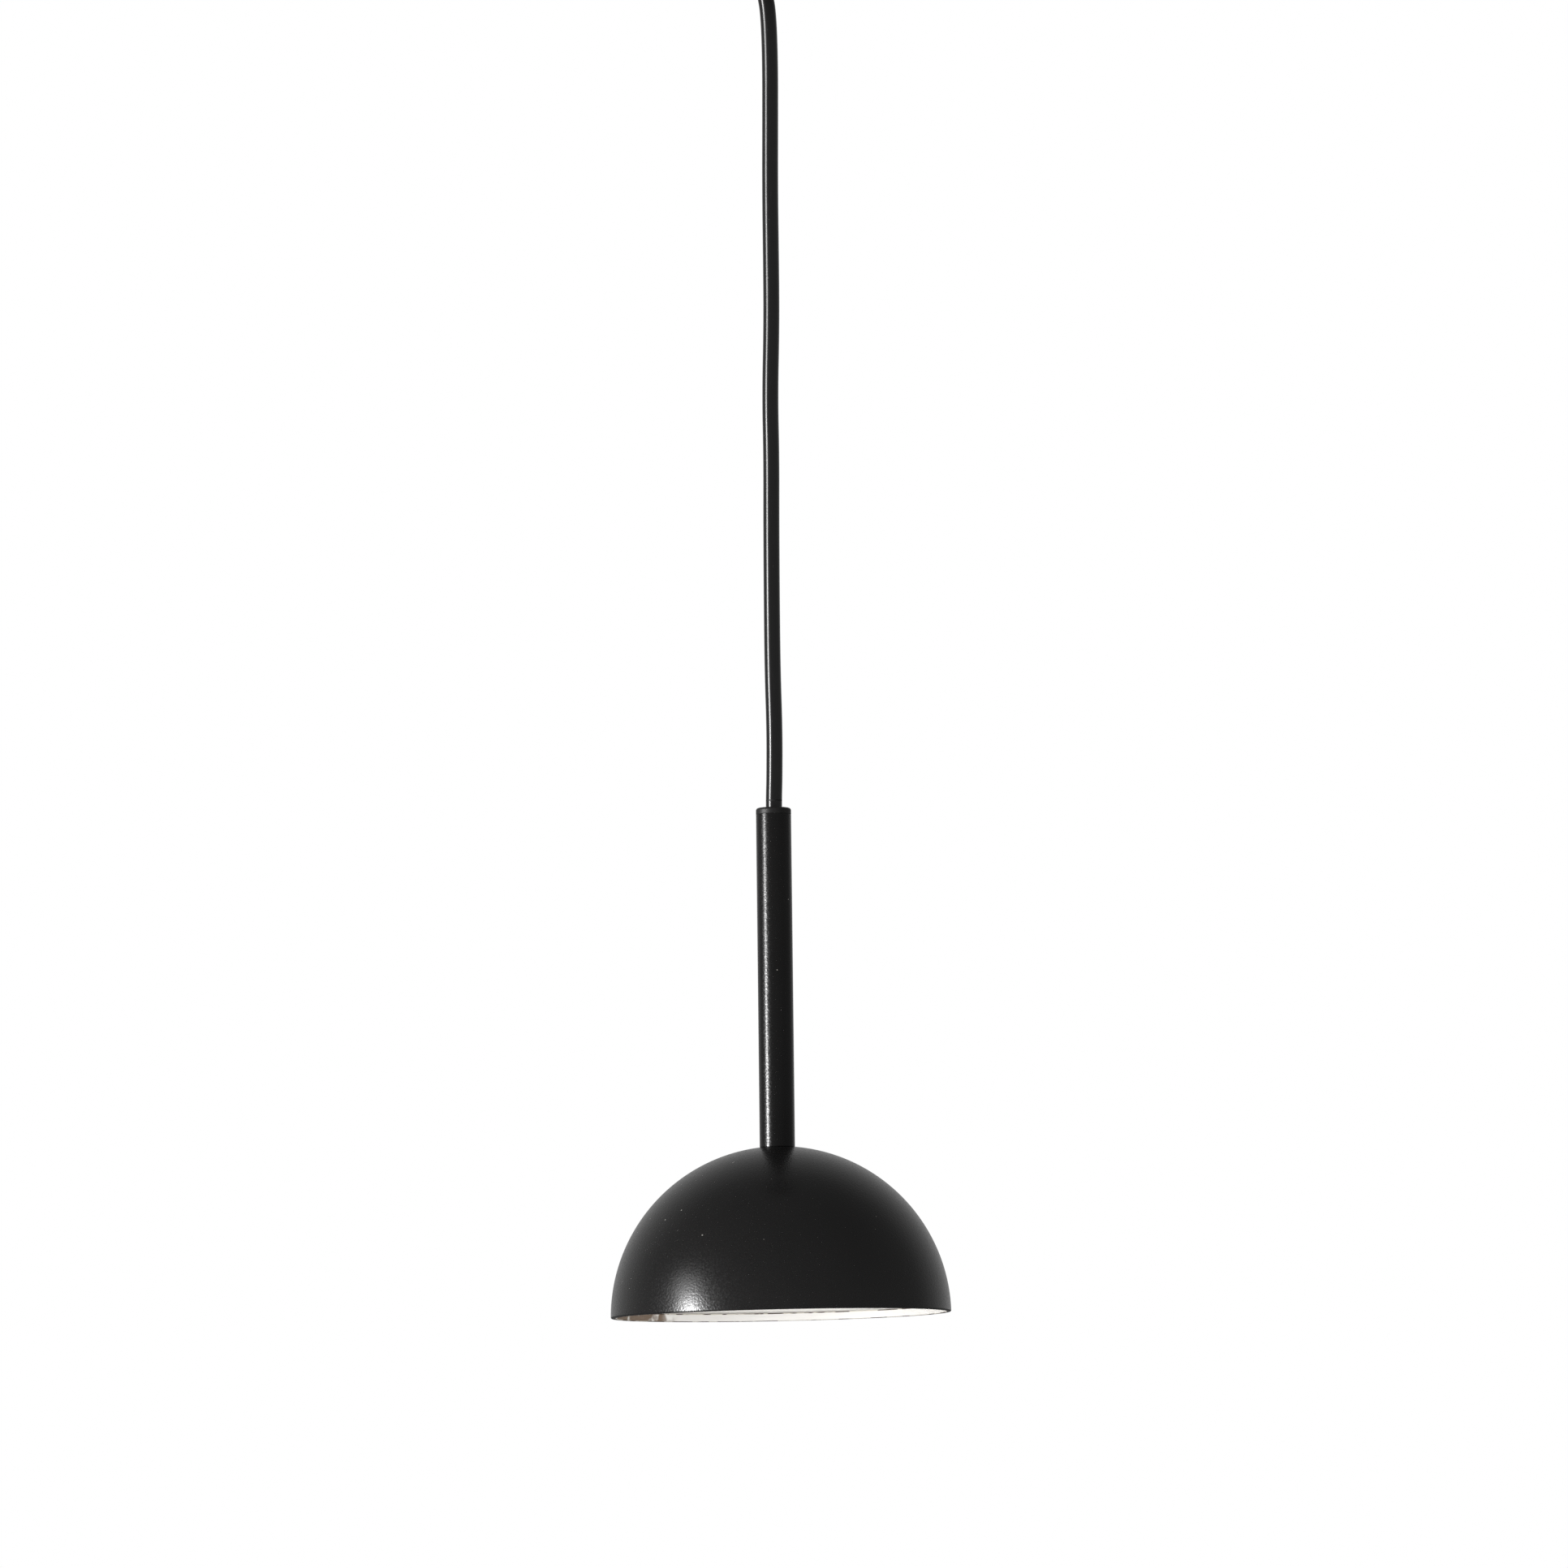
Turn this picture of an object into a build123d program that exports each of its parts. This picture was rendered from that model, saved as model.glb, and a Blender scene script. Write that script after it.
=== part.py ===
"""Pendant ceiling light: a half-sphere shade on a short stem, hung by its cord from a ceiling canopy.

Millimetres. The ceiling plane is z = 0, the lamp hangs along -z, and the cord, the stem and the
shade share the z axis.
"""
from build123d import *
import math
import os

os.makedirs("parts", exist_ok=True)

# Shade: a spun half-sphere whose rim is folded inwards into a hem
shade_diameter = 125.0
shade_wall = 1.0
shade_rim_rise = 0.5
hem_height = 3.0
hem_round = 0.8
seat_land = 0.5

# Stem and its cap
stem_diameter = 13.0
stem_length = 125.5
stem_bore = 9.0
stem_thread_depth = 10.0
cap_height = 2.4
cap_edge_round = 0.9
cap_spigot_length = 9.0
cap_mouth_round = 0.3
cap_seam_round = 0.15
cap_spigot_round = 0.5
stem_seam_round = 0.15
stem_foot_round = 0.25

# Cord: a sheath round three insulated cores
cord_diameter = 6.0
cord_length = 310.0
cord_tail_length = 18.0
cord_bend_diameter = 5.4
core_diameter = 2.0
core_circle_diameter = 2.9
anchor_length = 6.0
anchor_wall = 1.3
anchor_round = 0.5

# Lamp thread, M10 x 1, and what is screwed on it
thread_diameter = 10.0
nipple_bore = 7.0
nipple_bore_round = 0.4
nipple_end_round = 0.6
nut_flats = 14.0
nipple_nut_height = 3.0
nipple_stand_out = 0.8
washer_diameter = 13.4
washer_height = 2.0
lock_washer_diameter = 14.4
lock_washer_height = 0.8
lock_washer_teeth = 10
tag_height = 0.8
tag_diameter = 14.0
tag_tail_width = 4.0
tag_tail_drop = 6.5
tag_tail_gap = 1.2

# Lampholder for a two-pin G9 bulb, in a U-shaped strap
strap_height = 1.5
strap_width = 12.0
strap_bend = 1.5
wire_room = 6.8
holder_length = 21.0
holder_width = 14.5
holder_height = 15.0
holder_corner = 5.0
holder_edge_round = 0.8
socket_length = 14.0
socket_width = 7.4
socket_depth = 7.5
contact_room_length = 4.4
contact_room_width = 5.0
contact_room_height = 6.3
contact_strip = 0.4
contact_strip_width = 3.0
wire_hole_diameter = 2.6
holder_screw_diameter = 3.0
holder_screw_length = 3.8
holder_screw_drop = 5.0
holder_screw_head_diameter = 5.5
holder_screw_head_height = 1.8

# Bulb: an opal LED capsule
bulb_diameter = 16.0
bulb_length = 25.0
bulb_collar_height = 4.5
bulb_collar_round = 1.5
bulb_wall = 1.0
plug_height = 7.0
pin_spacing = 9.0
pin_length = 5.6
pin_wire = 0.8
pin_loop_width = 3.0
led_board_width = 10.0
led_board_height = 15.0
led_board_thickness = 1.0

# Ceiling canopy and its bracket
canopy_diameter = 100.0
canopy_height = 30.0
canopy_wall = 1.2
canopy_corner = 6.0
canopy_ceiling_gap = 0.5
bracket_thickness = 2.0
bracket_width = 20.0
bracket_bend = 1.5
ear_margin = 6.0
ceiling_screw_spacing = 64.0
ceiling_slot_length = 12.0
ceiling_slot_width = 4.5
cable_hole_diameter = 14.0
cable_hole_offset = 12.0
canopy_screw_diameter = 4.0
canopy_screw_drop = 14.0
canopy_screw_head_diameter = 7.0
canopy_screw_head_height = 2.5
canopy_screw_reach = 1.5

# Terminal block: three brass sleeves in a moulded body
block_offset = 10.0
block_length = 14.0
block_height = 13.0
block_end_wall = 1.25
pole_pitch = 8.5
sleeve_diameter = 4.8
sleeve_recess = 1.0
sleeve_web = 1.6
wire_entry_diameter = 3.2
terminal_screw_diameter = 2.4
terminal_screw_head_diameter = 3.6
terminal_screw_head_height = 1.6
terminal_screw_stand_off = 0.8
block_screw_diameter = 3.0
block_screw_head_diameter = 4.6
block_screw_head_height = 2.0

# Cord grip under the canopy
grip_length = 13.5
grip_collar_diameter = 15.0
grip_collar_height = 6.5
grip_nose_diameter = 10.4
grip_mouth_depth = 2.5
grip_mouth_flare = 0.7
grip_edge_round = 0.6
grip_nose_round = 1.5
grip_tip_round = 0.5
grip_lip_round = 0.4
grip_throat_round = 1.0
grip_shank_stand_out = 4.3
grip_nut_height = 3.5
grip_screw_diameter = 4.0
sheath_stand_out = 4.0

# Clearances
thread_clearance = 0.05
hole_clearance = 0.2
cord_clearance = 0.2
slip_gap = 0.3
fit_gap = 0.1

# Radii
shade_radius = shade_diameter / 2
stem_radius = stem_diameter / 2
cord_radius = cord_diameter / 2
core_radius = core_diameter / 2
core_circle_radius = core_circle_diameter / 2
thread_radius = thread_diameter / 2
thread_hole_radius = thread_radius + thread_clearance
thread_pass_radius = thread_radius + hole_clearance
cord_bore_radius = cord_radius + cord_clearance
canopy_radius = canopy_diameter / 2
canopy_inner_radius = canopy_radius - canopy_wall

# Heights, from the ceiling down to the shade's rim
z_canopy_rim = -canopy_ceiling_gap
z_canopy_base = z_canopy_rim - canopy_height
z_canopy_floor = z_canopy_base + canopy_wall
z_grip_nut_top = z_canopy_floor + grip_nut_height
z_grip_top = z_grip_nut_top + grip_shank_stand_out
z_sheath_top = z_grip_top + sheath_stand_out
z_grip_tip = z_canopy_base - grip_length
z_cap_top = z_grip_tip - cord_length
z_tube_top = z_cap_top - cap_height
z_spigot_end = z_tube_top - cap_spigot_length
z_seat = z_cap_top - stem_length
seat_radius = stem_radius + seat_land
z_centre = z_seat - math.sqrt(shade_radius**2 - seat_radius**2)
z_rim = z_centre + shade_rim_rise
z_washer_top = z_seat - shade_wall
z_strap_top = z_washer_top - washer_height
z_tag_top = z_strap_top - strap_height
z_lock_top = z_tag_top - tag_height
z_nut_top = z_lock_top - lock_washer_height
z_nipple_end = z_nut_top - nipple_nut_height - nipple_stand_out
z_holder_top = z_nipple_end - wire_room
z_holder_base = z_holder_top - holder_height
z_socket_roof = z_holder_base + socket_depth
z_collar_top = z_holder_base - slip_gap
z_plug_top = z_collar_top + plug_height
z_pin_top = z_plug_top + pin_length
z_contact_top = z_pin_top + fit_gap + contact_strip
z_collar_base = z_collar_top - bulb_collar_height
z_bulb_tip = z_collar_top - bulb_length


def finish(piece, label):
    """Label a finished piece and write its STEP file."""
    piece.part.label = label
    export_step(piece.part, f"parts/{label}.step")


def sphere_point(radius, z):
    """Profile point at height z on a sphere about the shade's centre."""
    return (math.sqrt(radius**2 - (z - z_centre) ** 2), z)


def sphere_middle(radius, z_start, z_end):
    """Profile point halfway along the arc between two heights."""
    start = math.asin((z_start - z_centre) / radius)
    end = math.asin((z_end - z_centre) / radius)
    middle = (start + end) / 2
    return (radius * math.cos(middle), z_centre + radius * math.sin(middle))


def bend_radii(points):
    """Bend radius at each corner of a wire: 0.45 of the shorter run over the tangent of half the turn."""
    radii = []
    for before, corner, after in zip(points, points[1:], points[2:]):
        run_in = Vector(*corner) - Vector(*before)
        run_out = Vector(*after) - Vector(*corner)
        half_turn = math.radians(run_in.get_angle(run_out)) / 2
        radii.append(0.45 * min(run_in.length, run_out.length) / math.tan(half_turn))
    return radii


def insulated_wire(points):
    """One insulated core along its route."""
    radii = bend_radii(points)
    with BuildPart() as wire:
        with BuildLine() as route:
            FilletPolyline(*points, radius=radii)
        with BuildSketch(Plane(origin=points[0], z_dir=Vector(*points[1]) - Vector(*points[0]))):
            Circle(core_radius)
        sweep()
    section = math.pi * core_radius**2
    ratio = wire.part.volume / (section * route.wire().length)
    print("wire bends", [round(radius, 1) for radius in radii], "volume over section x length", round(ratio, 3))
    return wire


def hex_nut(z_top, height):
    """Hexagon nut on the lamp thread, its corners chamfered on both faces."""
    with BuildPart() as nut:
        with BuildSketch(Plane.XY.offset(z_top)):
            RegularPolygon(nut_flats / 2, 6, major_radius=False)
        extrude(amount=-height)
        corner_radius = nut_flats / 2 / math.cos(math.pi / 6)
        with BuildSketch(Plane.XZ):
            with BuildLine():
                bevel = corner_radius - nut_flats / 2
                Polyline(
                    (0, z_top),
                    (nut_flats / 2, z_top),
                    (corner_radius, z_top - bevel / 2),
                    (corner_radius, z_top - height + bevel / 2),
                    (nut_flats / 2, z_top - height),
                    (0, z_top - height),
                    close=True,
                )
            make_face()
        revolve(axis=Axis.Z, mode=Mode.INTERSECT)
        with Locations((0, 0, z_top)):
            Hole(thread_hole_radius, depth=height)
    return nut


def core_place(angle):
    """Centre of a core in the cord's section."""
    turn = math.radians(angle)
    return core_circle_radius * math.cos(turn), core_circle_radius * math.sin(turn)


# Ceiling bracket: a strap with its ends bent down to take the canopy's side screws
ear_face = math.sqrt(canopy_inner_radius**2 - (bracket_width / 2) ** 2) - slip_gap
ear_end = canopy_screw_drop + ear_margin
block_middle = block_offset + block_length / 2
fixing_screw_places = [(block_middle, -pole_pitch / 2), (block_middle, pole_pitch / 2)]
slot_places = [(-ceiling_screw_spacing / 2, 0), (ceiling_screw_spacing / 2, 0)]

with BuildPart() as ceiling_bracket:
    with BuildSketch(Plane.XZ):
        with BuildLine():
            inside = ear_face - bracket_thickness
            FilletPolyline(
                (-ear_face, 0),
                (ear_face, 0),
                (ear_face, -ear_end),
                (inside, -ear_end),
                (inside, -bracket_thickness),
                (-inside, -bracket_thickness),
                (-inside, -ear_end),
                (-ear_face, -ear_end),
                radius=[
                    bracket_bend + bracket_thickness,
                    bracket_bend + bracket_thickness,
                    0,
                    0,
                    bracket_bend,
                    bracket_bend,
                    0,
                    0,
                ],
                close=True,
            )
        make_face()
    extrude(amount=bracket_width / 2, both=True)
    ear_corners = ceiling_bracket.edges().filter_by(Axis.X).group_by(Axis.Z)[0]
    fillet(ear_corners, bracket_width / 8)
    with BuildSketch(Plane.XY):
        with Locations(*slot_places):
            SlotOverall(ceiling_slot_length, ceiling_slot_width)
        with Locations((-cable_hole_offset, 0)):
            Circle(cable_hole_diameter / 2)
        with Locations(*fixing_screw_places):
            Circle(block_screw_diameter / 2 + thread_clearance)
    extrude(amount=-bracket_thickness, mode=Mode.SUBTRACT)
    with BuildSketch(Plane.YZ):
        with Locations((0, -canopy_screw_drop)):
            Circle(canopy_screw_diameter / 2 + thread_clearance)
    extrude(amount=ear_face, both=True, mode=Mode.SUBTRACT)
finish(ceiling_bracket, "ceiling_bracket")

# Canopy cup, drawn from sheet, with the cord grip's hole and two side holes
with BuildPart() as canopy_cup:
    with BuildSketch(Plane.XZ):
        with BuildLine():
            FilletPolyline(
                (thread_pass_radius, z_canopy_base),
                (canopy_radius, z_canopy_base),
                (canopy_radius, z_canopy_rim),
                (canopy_inner_radius, z_canopy_rim),
                (canopy_inner_radius, z_canopy_floor),
                (thread_pass_radius, z_canopy_floor),
                radius=[0, canopy_corner, 0, 0, canopy_corner - canopy_wall, 0],
                close=True,
            )
        make_face()
    revolve(axis=Axis.Z)
    with BuildSketch(Plane.YZ):
        with Locations((0, -canopy_screw_drop)):
            Circle(canopy_screw_diameter / 2 + hole_clearance)
    extrude(amount=canopy_diameter, both=True, mode=Mode.SUBTRACT)
finish(canopy_cup, "canopy_cup")

# Canopy screws: button heads with a hexagon socket
with BuildPart() as canopy_screws:
    shank_length = canopy_radius - ear_face + bracket_thickness + canopy_screw_reach
    for side in (-1, 1):
        head_plane = Plane(origin=(side * canopy_radius, 0, -canopy_screw_drop), z_dir=(side, 0, 0))
        with BuildSketch(head_plane):
            Circle(canopy_screw_diameter / 2)
        extrude(amount=-shank_length)
        with BuildSketch(head_plane):
            Circle(canopy_screw_head_diameter / 2)
        extrude(amount=canopy_screw_head_height)
        with BuildSketch(head_plane.offset(canopy_screw_head_height)):
            RegularPolygon(canopy_screw_diameter * 0.3, 6, major_radius=False)
        extrude(amount=-canopy_screw_head_height * 0.6, mode=Mode.SUBTRACT)
    head_rims = (
        canopy_screws.edges()
        .filter_by(GeomType.CIRCLE)
        .filter_by(lambda edge: abs(abs(edge.center().X) - canopy_radius - canopy_screw_head_height) < 0.01)
    )
    fillet(head_rims, canopy_screw_head_height * 0.4)
finish(canopy_screws, "canopy_screws")

# Terminal block under the bracket: poles side by side along y, wires entering along x
z_block_top = -bracket_thickness
z_block_base = z_block_top - block_height
z_pole = z_block_top - block_height / 2
pole_places = [-pole_pitch, 0, pole_pitch]
block_width = 3 * pole_pitch + 2 * block_end_wall
sleeve_radius = sleeve_diameter / 2
sleeve_length = block_length - 2 * sleeve_recess
entry_depth = (sleeve_length - sleeve_web) / 2
terminal_screw_places = [
    (block_middle + side * (sleeve_web + entry_depth) / 2, pole) for side in (-1, 1) for pole in pole_places
]
well_radius = terminal_screw_head_diameter / 2 + hole_clearance

with BuildPart() as terminal_block:
    with BuildSketch(Plane.XY.offset(z_block_top)):
        with Locations((block_middle, 0)):
            RectangleRounded(block_length, block_width, block_end_wall)
    extrude(amount=-block_height)
    with BuildSketch(Plane.YZ.offset(block_offset)):
        with Locations(*[(pole, z_pole) for pole in pole_places]):
            Circle(sleeve_radius + thread_clearance)
    extrude(amount=block_length, mode=Mode.SUBTRACT)
    with BuildSketch(Plane.XY.offset(z_block_base)):
        with Locations(*terminal_screw_places):
            Circle(well_radius)
    extrude(amount=z_pole - z_block_base, mode=Mode.SUBTRACT)
    with BuildSketch(Plane.XY.offset(z_block_base)):
        with Locations(*fixing_screw_places):
            Circle(block_screw_diameter / 2 + thread_clearance)
    extrude(amount=block_height, mode=Mode.SUBTRACT)
finish(terminal_block, "terminal_block")

with BuildPart() as terminal_sleeves:
    with BuildSketch(Plane.YZ.offset(block_offset + sleeve_recess)):
        with Locations(*[(pole, z_pole) for pole in pole_places]):
            Circle(sleeve_radius)
    extrude(amount=sleeve_length)
    for entry in (block_offset + sleeve_recess, block_offset + block_length - sleeve_recess - entry_depth):
        with BuildSketch(Plane.YZ.offset(entry)):
            with Locations(*[(pole, z_pole) for pole in pole_places]):
                Circle(wire_entry_diameter / 2)
        extrude(amount=entry_depth, mode=Mode.SUBTRACT)
    with BuildSketch(Plane.XY.offset(z_pole - sleeve_radius)):
        with Locations(*terminal_screw_places):
            Circle(terminal_screw_diameter / 2 + thread_clearance)
    extrude(amount=sleeve_radius, mode=Mode.SUBTRACT)
finish(terminal_sleeves, "terminal_sleeves")

with BuildPart() as terminal_screws:
    z_screw_tip = z_pole - wire_entry_diameter / 2
    z_screw_neck = z_pole - sleeve_radius - terminal_screw_stand_off
    with BuildSketch(Plane.XY.offset(z_screw_tip)):
        with Locations(*terminal_screw_places):
            Circle(terminal_screw_diameter / 2)
    extrude(amount=z_screw_neck - z_screw_tip)
    with BuildSketch(Plane.XY.offset(z_screw_neck)):
        with Locations(*terminal_screw_places):
            Circle(terminal_screw_head_diameter / 2)
    extrude(amount=-terminal_screw_head_height)
    with BuildSketch(Plane.XY.offset(z_screw_neck - terminal_screw_head_height)):
        with Locations(*terminal_screw_places):
            Rectangle(terminal_screw_head_diameter, terminal_screw_head_diameter / 6)
    extrude(amount=terminal_screw_head_height / 2, mode=Mode.SUBTRACT)
finish(terminal_screws, "terminal_screws")

with BuildPart() as block_screws:
    with BuildSketch(Plane.XY.offset(z_block_base)):
        with Locations(*fixing_screw_places):
            Circle(block_screw_diameter / 2)
    extrude(amount=block_height + bracket_thickness * 0.9)
    with BuildSketch(Plane.XY.offset(z_block_base)):
        with Locations(*fixing_screw_places):
            Circle(block_screw_head_diameter / 2)
    extrude(amount=-block_screw_head_height)
    fillet(block_screws.edges().group_by(Axis.Z)[0], block_screw_head_height / 3)
finish(block_screws, "block_screws")

# Cord grip: a threaded bush with a bell mouth, its nut inside the canopy and its clamping screw
z_collar_end = z_canopy_base - grip_collar_height
z_grip_screw = z_canopy_base - grip_collar_height / 2

with BuildPart() as cord_grip:
    with BuildSketch(Plane.XZ):
        with BuildLine():
            FilletPolyline(
                (cord_bore_radius, z_grip_top),
                (thread_radius, z_grip_top),
                (thread_radius, z_canopy_base),
                (grip_collar_diameter / 2, z_canopy_base),
                (grip_collar_diameter / 2, z_collar_end),
                (grip_nose_diameter / 2, z_grip_tip),
                (cord_bore_radius + grip_mouth_flare, z_grip_tip),
                (cord_bore_radius, z_grip_tip + grip_mouth_depth),
                radius=[
                    0,
                    grip_edge_round,
                    0,
                    grip_edge_round,
                    grip_nose_round,
                    grip_tip_round,
                    grip_lip_round,
                    grip_throat_round,
                ],
                close=True,
            )
        make_face()
    revolve(axis=Axis.Z)
    with BuildSketch(Plane.XZ):
        with Locations((0, z_grip_screw)):
            Circle(grip_screw_diameter / 2 + thread_clearance)
    extrude(amount=grip_collar_diameter, mode=Mode.SUBTRACT)
finish(cord_grip, "cord_grip")

finish(hex_nut(z_grip_nut_top, grip_nut_height), "cord_grip_nut")

with BuildPart() as cord_grip_screw:
    screw_length = grip_collar_diameter / 2 - cord_radius - 2 * fit_gap
    with BuildSketch(Plane.XZ.offset(cord_radius + fit_gap)):
        with Locations((0, z_grip_screw)):
            Circle(grip_screw_diameter / 2)
    extrude(amount=screw_length)
    with BuildSketch(Plane.XZ.offset(cord_radius + fit_gap + screw_length)):
        with Locations((0, z_grip_screw)):
            RegularPolygon(grip_screw_diameter / 4, 6, major_radius=False)
    extrude(amount=-screw_length / 2, mode=Mode.SUBTRACT)
finish(cord_grip_screw, "cord_grip_screw")

# Cord: the end held in the grip, the bending zone at the grip's tip and the free stretch
z_upper_end = z_grip_tip + cord_bend_diameter / 2 + slip_gap
z_free_top = z_grip_tip - cord_bend_diameter / 2 - slip_gap
z_free_end = z_cap_top - cap_height / 2

with BuildPart() as cord_upper_end:
    with BuildSketch(Plane.XY.offset(z_upper_end)):
        Circle(cord_radius)
    extrude(amount=z_sheath_top - z_upper_end)
finish(cord_upper_end, "cord_upper_end")

with BuildPart() as cord_bend:
    with Locations((0, 0, z_grip_tip)):
        Sphere(cord_bend_diameter / 2)
finish(cord_bend, "cord_bend")

with BuildPart() as cord:
    with BuildSketch(Plane.XY.offset(z_free_end)):
        Circle(cord_radius)
    extrude(amount=z_free_top - z_free_end)
finish(cord, "cord")
cord_run = z_free_top - z_free_end
print("cord run", round(cord_run, 1), "mm, straight; volume over section x length")
print(round(cord.part.volume / (math.pi * cord_radius**2 * cord_run), 3))

# Cores inside the canopy, from the sheath's end to the terminal block
z_entry_end = block_offset + sleeve_recess + entry_depth * 0.8
canopy_cores = {"canopy_live_wire": (120, 1), "canopy_neutral_wire": (240, -1)}
for label, (angle, side) in canopy_cores.items():
    x, y = core_place(angle)
    wire = insulated_wire(
        [
            (x, y, z_sheath_top),
            (x, y, z_pole),
            (block_offset / 2, side * pole_pitch, z_pole),
            (z_entry_end, side * pole_pitch, z_pole),
        ]
    )
    finish(wire, label)
x, y = core_place(0)
finish(insulated_wire([(x, y, z_sheath_top), (x, y, z_pole), (z_entry_end, 0, z_pole)]), "canopy_earth_wire")

# Stem cap: a moulded plug whose collar is as wide as the stem
spigot_radius = thread_radius
with BuildPart() as stem_cap:
    with BuildSketch(Plane.XZ):
        with BuildLine():
            FilletPolyline(
                (cord_bore_radius, z_cap_top),
                (stem_radius, z_cap_top),
                (stem_radius, z_tube_top),
                (spigot_radius, z_tube_top),
                (spigot_radius, z_spigot_end),
                (cord_bore_radius, z_spigot_end),
                radius=[cap_mouth_round, cap_edge_round, cap_seam_round, 0, cap_spigot_round, cap_mouth_round],
                close=True,
            )
        make_face()
    revolve(axis=Axis.Z)
finish(stem_cap, "stem_cap")

# Cord's lower end inside the stem, with the crimped anchor that bears on the cap
z_lower_top = z_free_end - slip_gap
z_lower_end = z_spigot_end - cord_tail_length / 2
with BuildPart() as cord_lower_end:
    with BuildSketch(Plane.XY.offset(z_lower_end)):
        Circle(cord_radius)
    extrude(amount=z_lower_top - z_lower_end)
finish(cord_lower_end, "cord_lower_end")

with BuildPart() as cord_anchor:
    with BuildSketch(Plane.XY.offset(z_spigot_end)):
        Circle(cord_radius + anchor_wall)
        Circle(cord_radius, mode=Mode.SUBTRACT)
    extrude(amount=-anchor_length)
    fillet(cord_anchor.edges().group_by(Axis.Z)[0].sort_by(SortBy.RADIUS)[-1], anchor_round)
finish(cord_anchor, "cord_anchor")

# Stem tube, bored and counterbored at both ends for the lamp thread
with BuildPart() as stem_tube:
    with BuildSketch(Plane.XZ):
        with BuildLine():
            FilletPolyline(
                (thread_hole_radius, z_tube_top),
                (stem_radius, z_tube_top),
                (stem_radius, z_seat),
                (thread_hole_radius, z_seat),
                (thread_hole_radius, z_seat + stem_thread_depth),
                (stem_bore / 2, z_seat + stem_thread_depth),
                (stem_bore / 2, z_tube_top - stem_thread_depth),
                (thread_hole_radius, z_tube_top - stem_thread_depth),
                radius=[0, stem_seam_round, stem_foot_round, 0, 0, 0, 0, 0],
                close=True,
            )
        make_face()
    revolve(axis=Axis.Z)
finish(stem_tube, "stem_tube")

# Shade: half-sphere shell with a flat seat for the stem and a folded hem
inner_radius = shade_radius - shade_wall
hem_radius = inner_radius - shade_wall
z_hem_top = z_rim + hem_height
inner_seat = (math.sqrt(inner_radius**2 - (z_washer_top - z_centre) ** 2), z_washer_top)

with BuildPart() as shade:
    with BuildSketch(Plane.XZ):
        with BuildLine():
            Line((thread_pass_radius, z_seat), (seat_radius, z_seat))
            ThreePointArc(
                (seat_radius, z_seat),
                sphere_middle(shade_radius, z_seat, z_rim),
                sphere_point(shade_radius, z_rim),
            )
            Line(sphere_point(shade_radius, z_rim), sphere_point(hem_radius, z_rim))
            ThreePointArc(
                sphere_point(hem_radius, z_rim),
                sphere_middle(hem_radius, z_rim, z_hem_top),
                sphere_point(hem_radius, z_hem_top),
            )
            Line(sphere_point(hem_radius, z_hem_top), sphere_point(inner_radius, z_hem_top))
            ThreePointArc(
                sphere_point(inner_radius, z_hem_top),
                sphere_middle(inner_radius, z_hem_top, z_washer_top),
                inner_seat,
            )
            Line(inner_seat, (thread_pass_radius, z_washer_top))
            Line((thread_pass_radius, z_washer_top), (thread_pass_radius, z_seat))
        make_face()
    revolve(axis=Axis.Z)
    fillet(shade.edges().group_by(Axis.Z)[0], hem_round)
finish(shade, "shade")

# Threaded nipple, clamping washer, lock washer and nut
with BuildPart() as threaded_nipple:
    with BuildSketch(Plane.XZ):
        with BuildLine():
            z_nipple_top = z_seat + stem_thread_depth - 2 * slip_gap
            FilletPolyline(
                (nipple_bore / 2, z_nipple_top),
                (thread_radius, z_nipple_top),
                (thread_radius, z_nipple_end),
                (nipple_bore / 2, z_nipple_end),
                radius=[nipple_bore_round, nipple_end_round, nipple_end_round, nipple_bore_round],
                close=True,
            )
        make_face()
    revolve(axis=Axis.Z)
finish(threaded_nipple, "threaded_nipple")

with BuildPart() as shade_washer:
    with BuildSketch(Plane.XY.offset(z_washer_top)):
        Circle(washer_diameter / 2)
        Circle(thread_pass_radius, mode=Mode.SUBTRACT)
    extrude(amount=-washer_height)
finish(shade_washer, "shade_washer")

with BuildPart() as lock_washer:
    with BuildSketch(Plane.XY.offset(z_lock_top)):
        Circle(lock_washer_diameter / 2)
        Circle(thread_pass_radius, mode=Mode.SUBTRACT)
        with PolarLocations(lock_washer_diameter / 2, lock_washer_teeth):
            Circle(lock_washer_diameter / 14, mode=Mode.SUBTRACT)
    extrude(amount=-lock_washer_height)
finish(lock_washer, "lock_washer")

finish(hex_nut(z_nut_top, nipple_nut_height), "nipple_nut")

# Earth tag: a ring under the nut, its tail bent down to take the earth core
nut_corner_radius = nut_flats / 2 / math.cos(math.pi / 6)
tag_reach = nut_corner_radius + tag_tail_gap
with BuildPart() as earth_tag:
    with BuildSketch(Plane.XY.offset(z_tag_top)):
        Circle(tag_diameter / 2)
        with Locations((0, -tag_reach / 2)):
            Rectangle(tag_tail_width, tag_reach)
        Circle(thread_pass_radius, mode=Mode.SUBTRACT)
    extrude(amount=-tag_height)
    with BuildSketch(Plane.XZ.offset(tag_reach)):
        with Locations((0, z_tag_top - tag_tail_drop / 2)):
            Rectangle(tag_tail_width, tag_tail_drop)
    extrude(amount=tag_height)
finish(earth_tag, "earth_tag")

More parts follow.
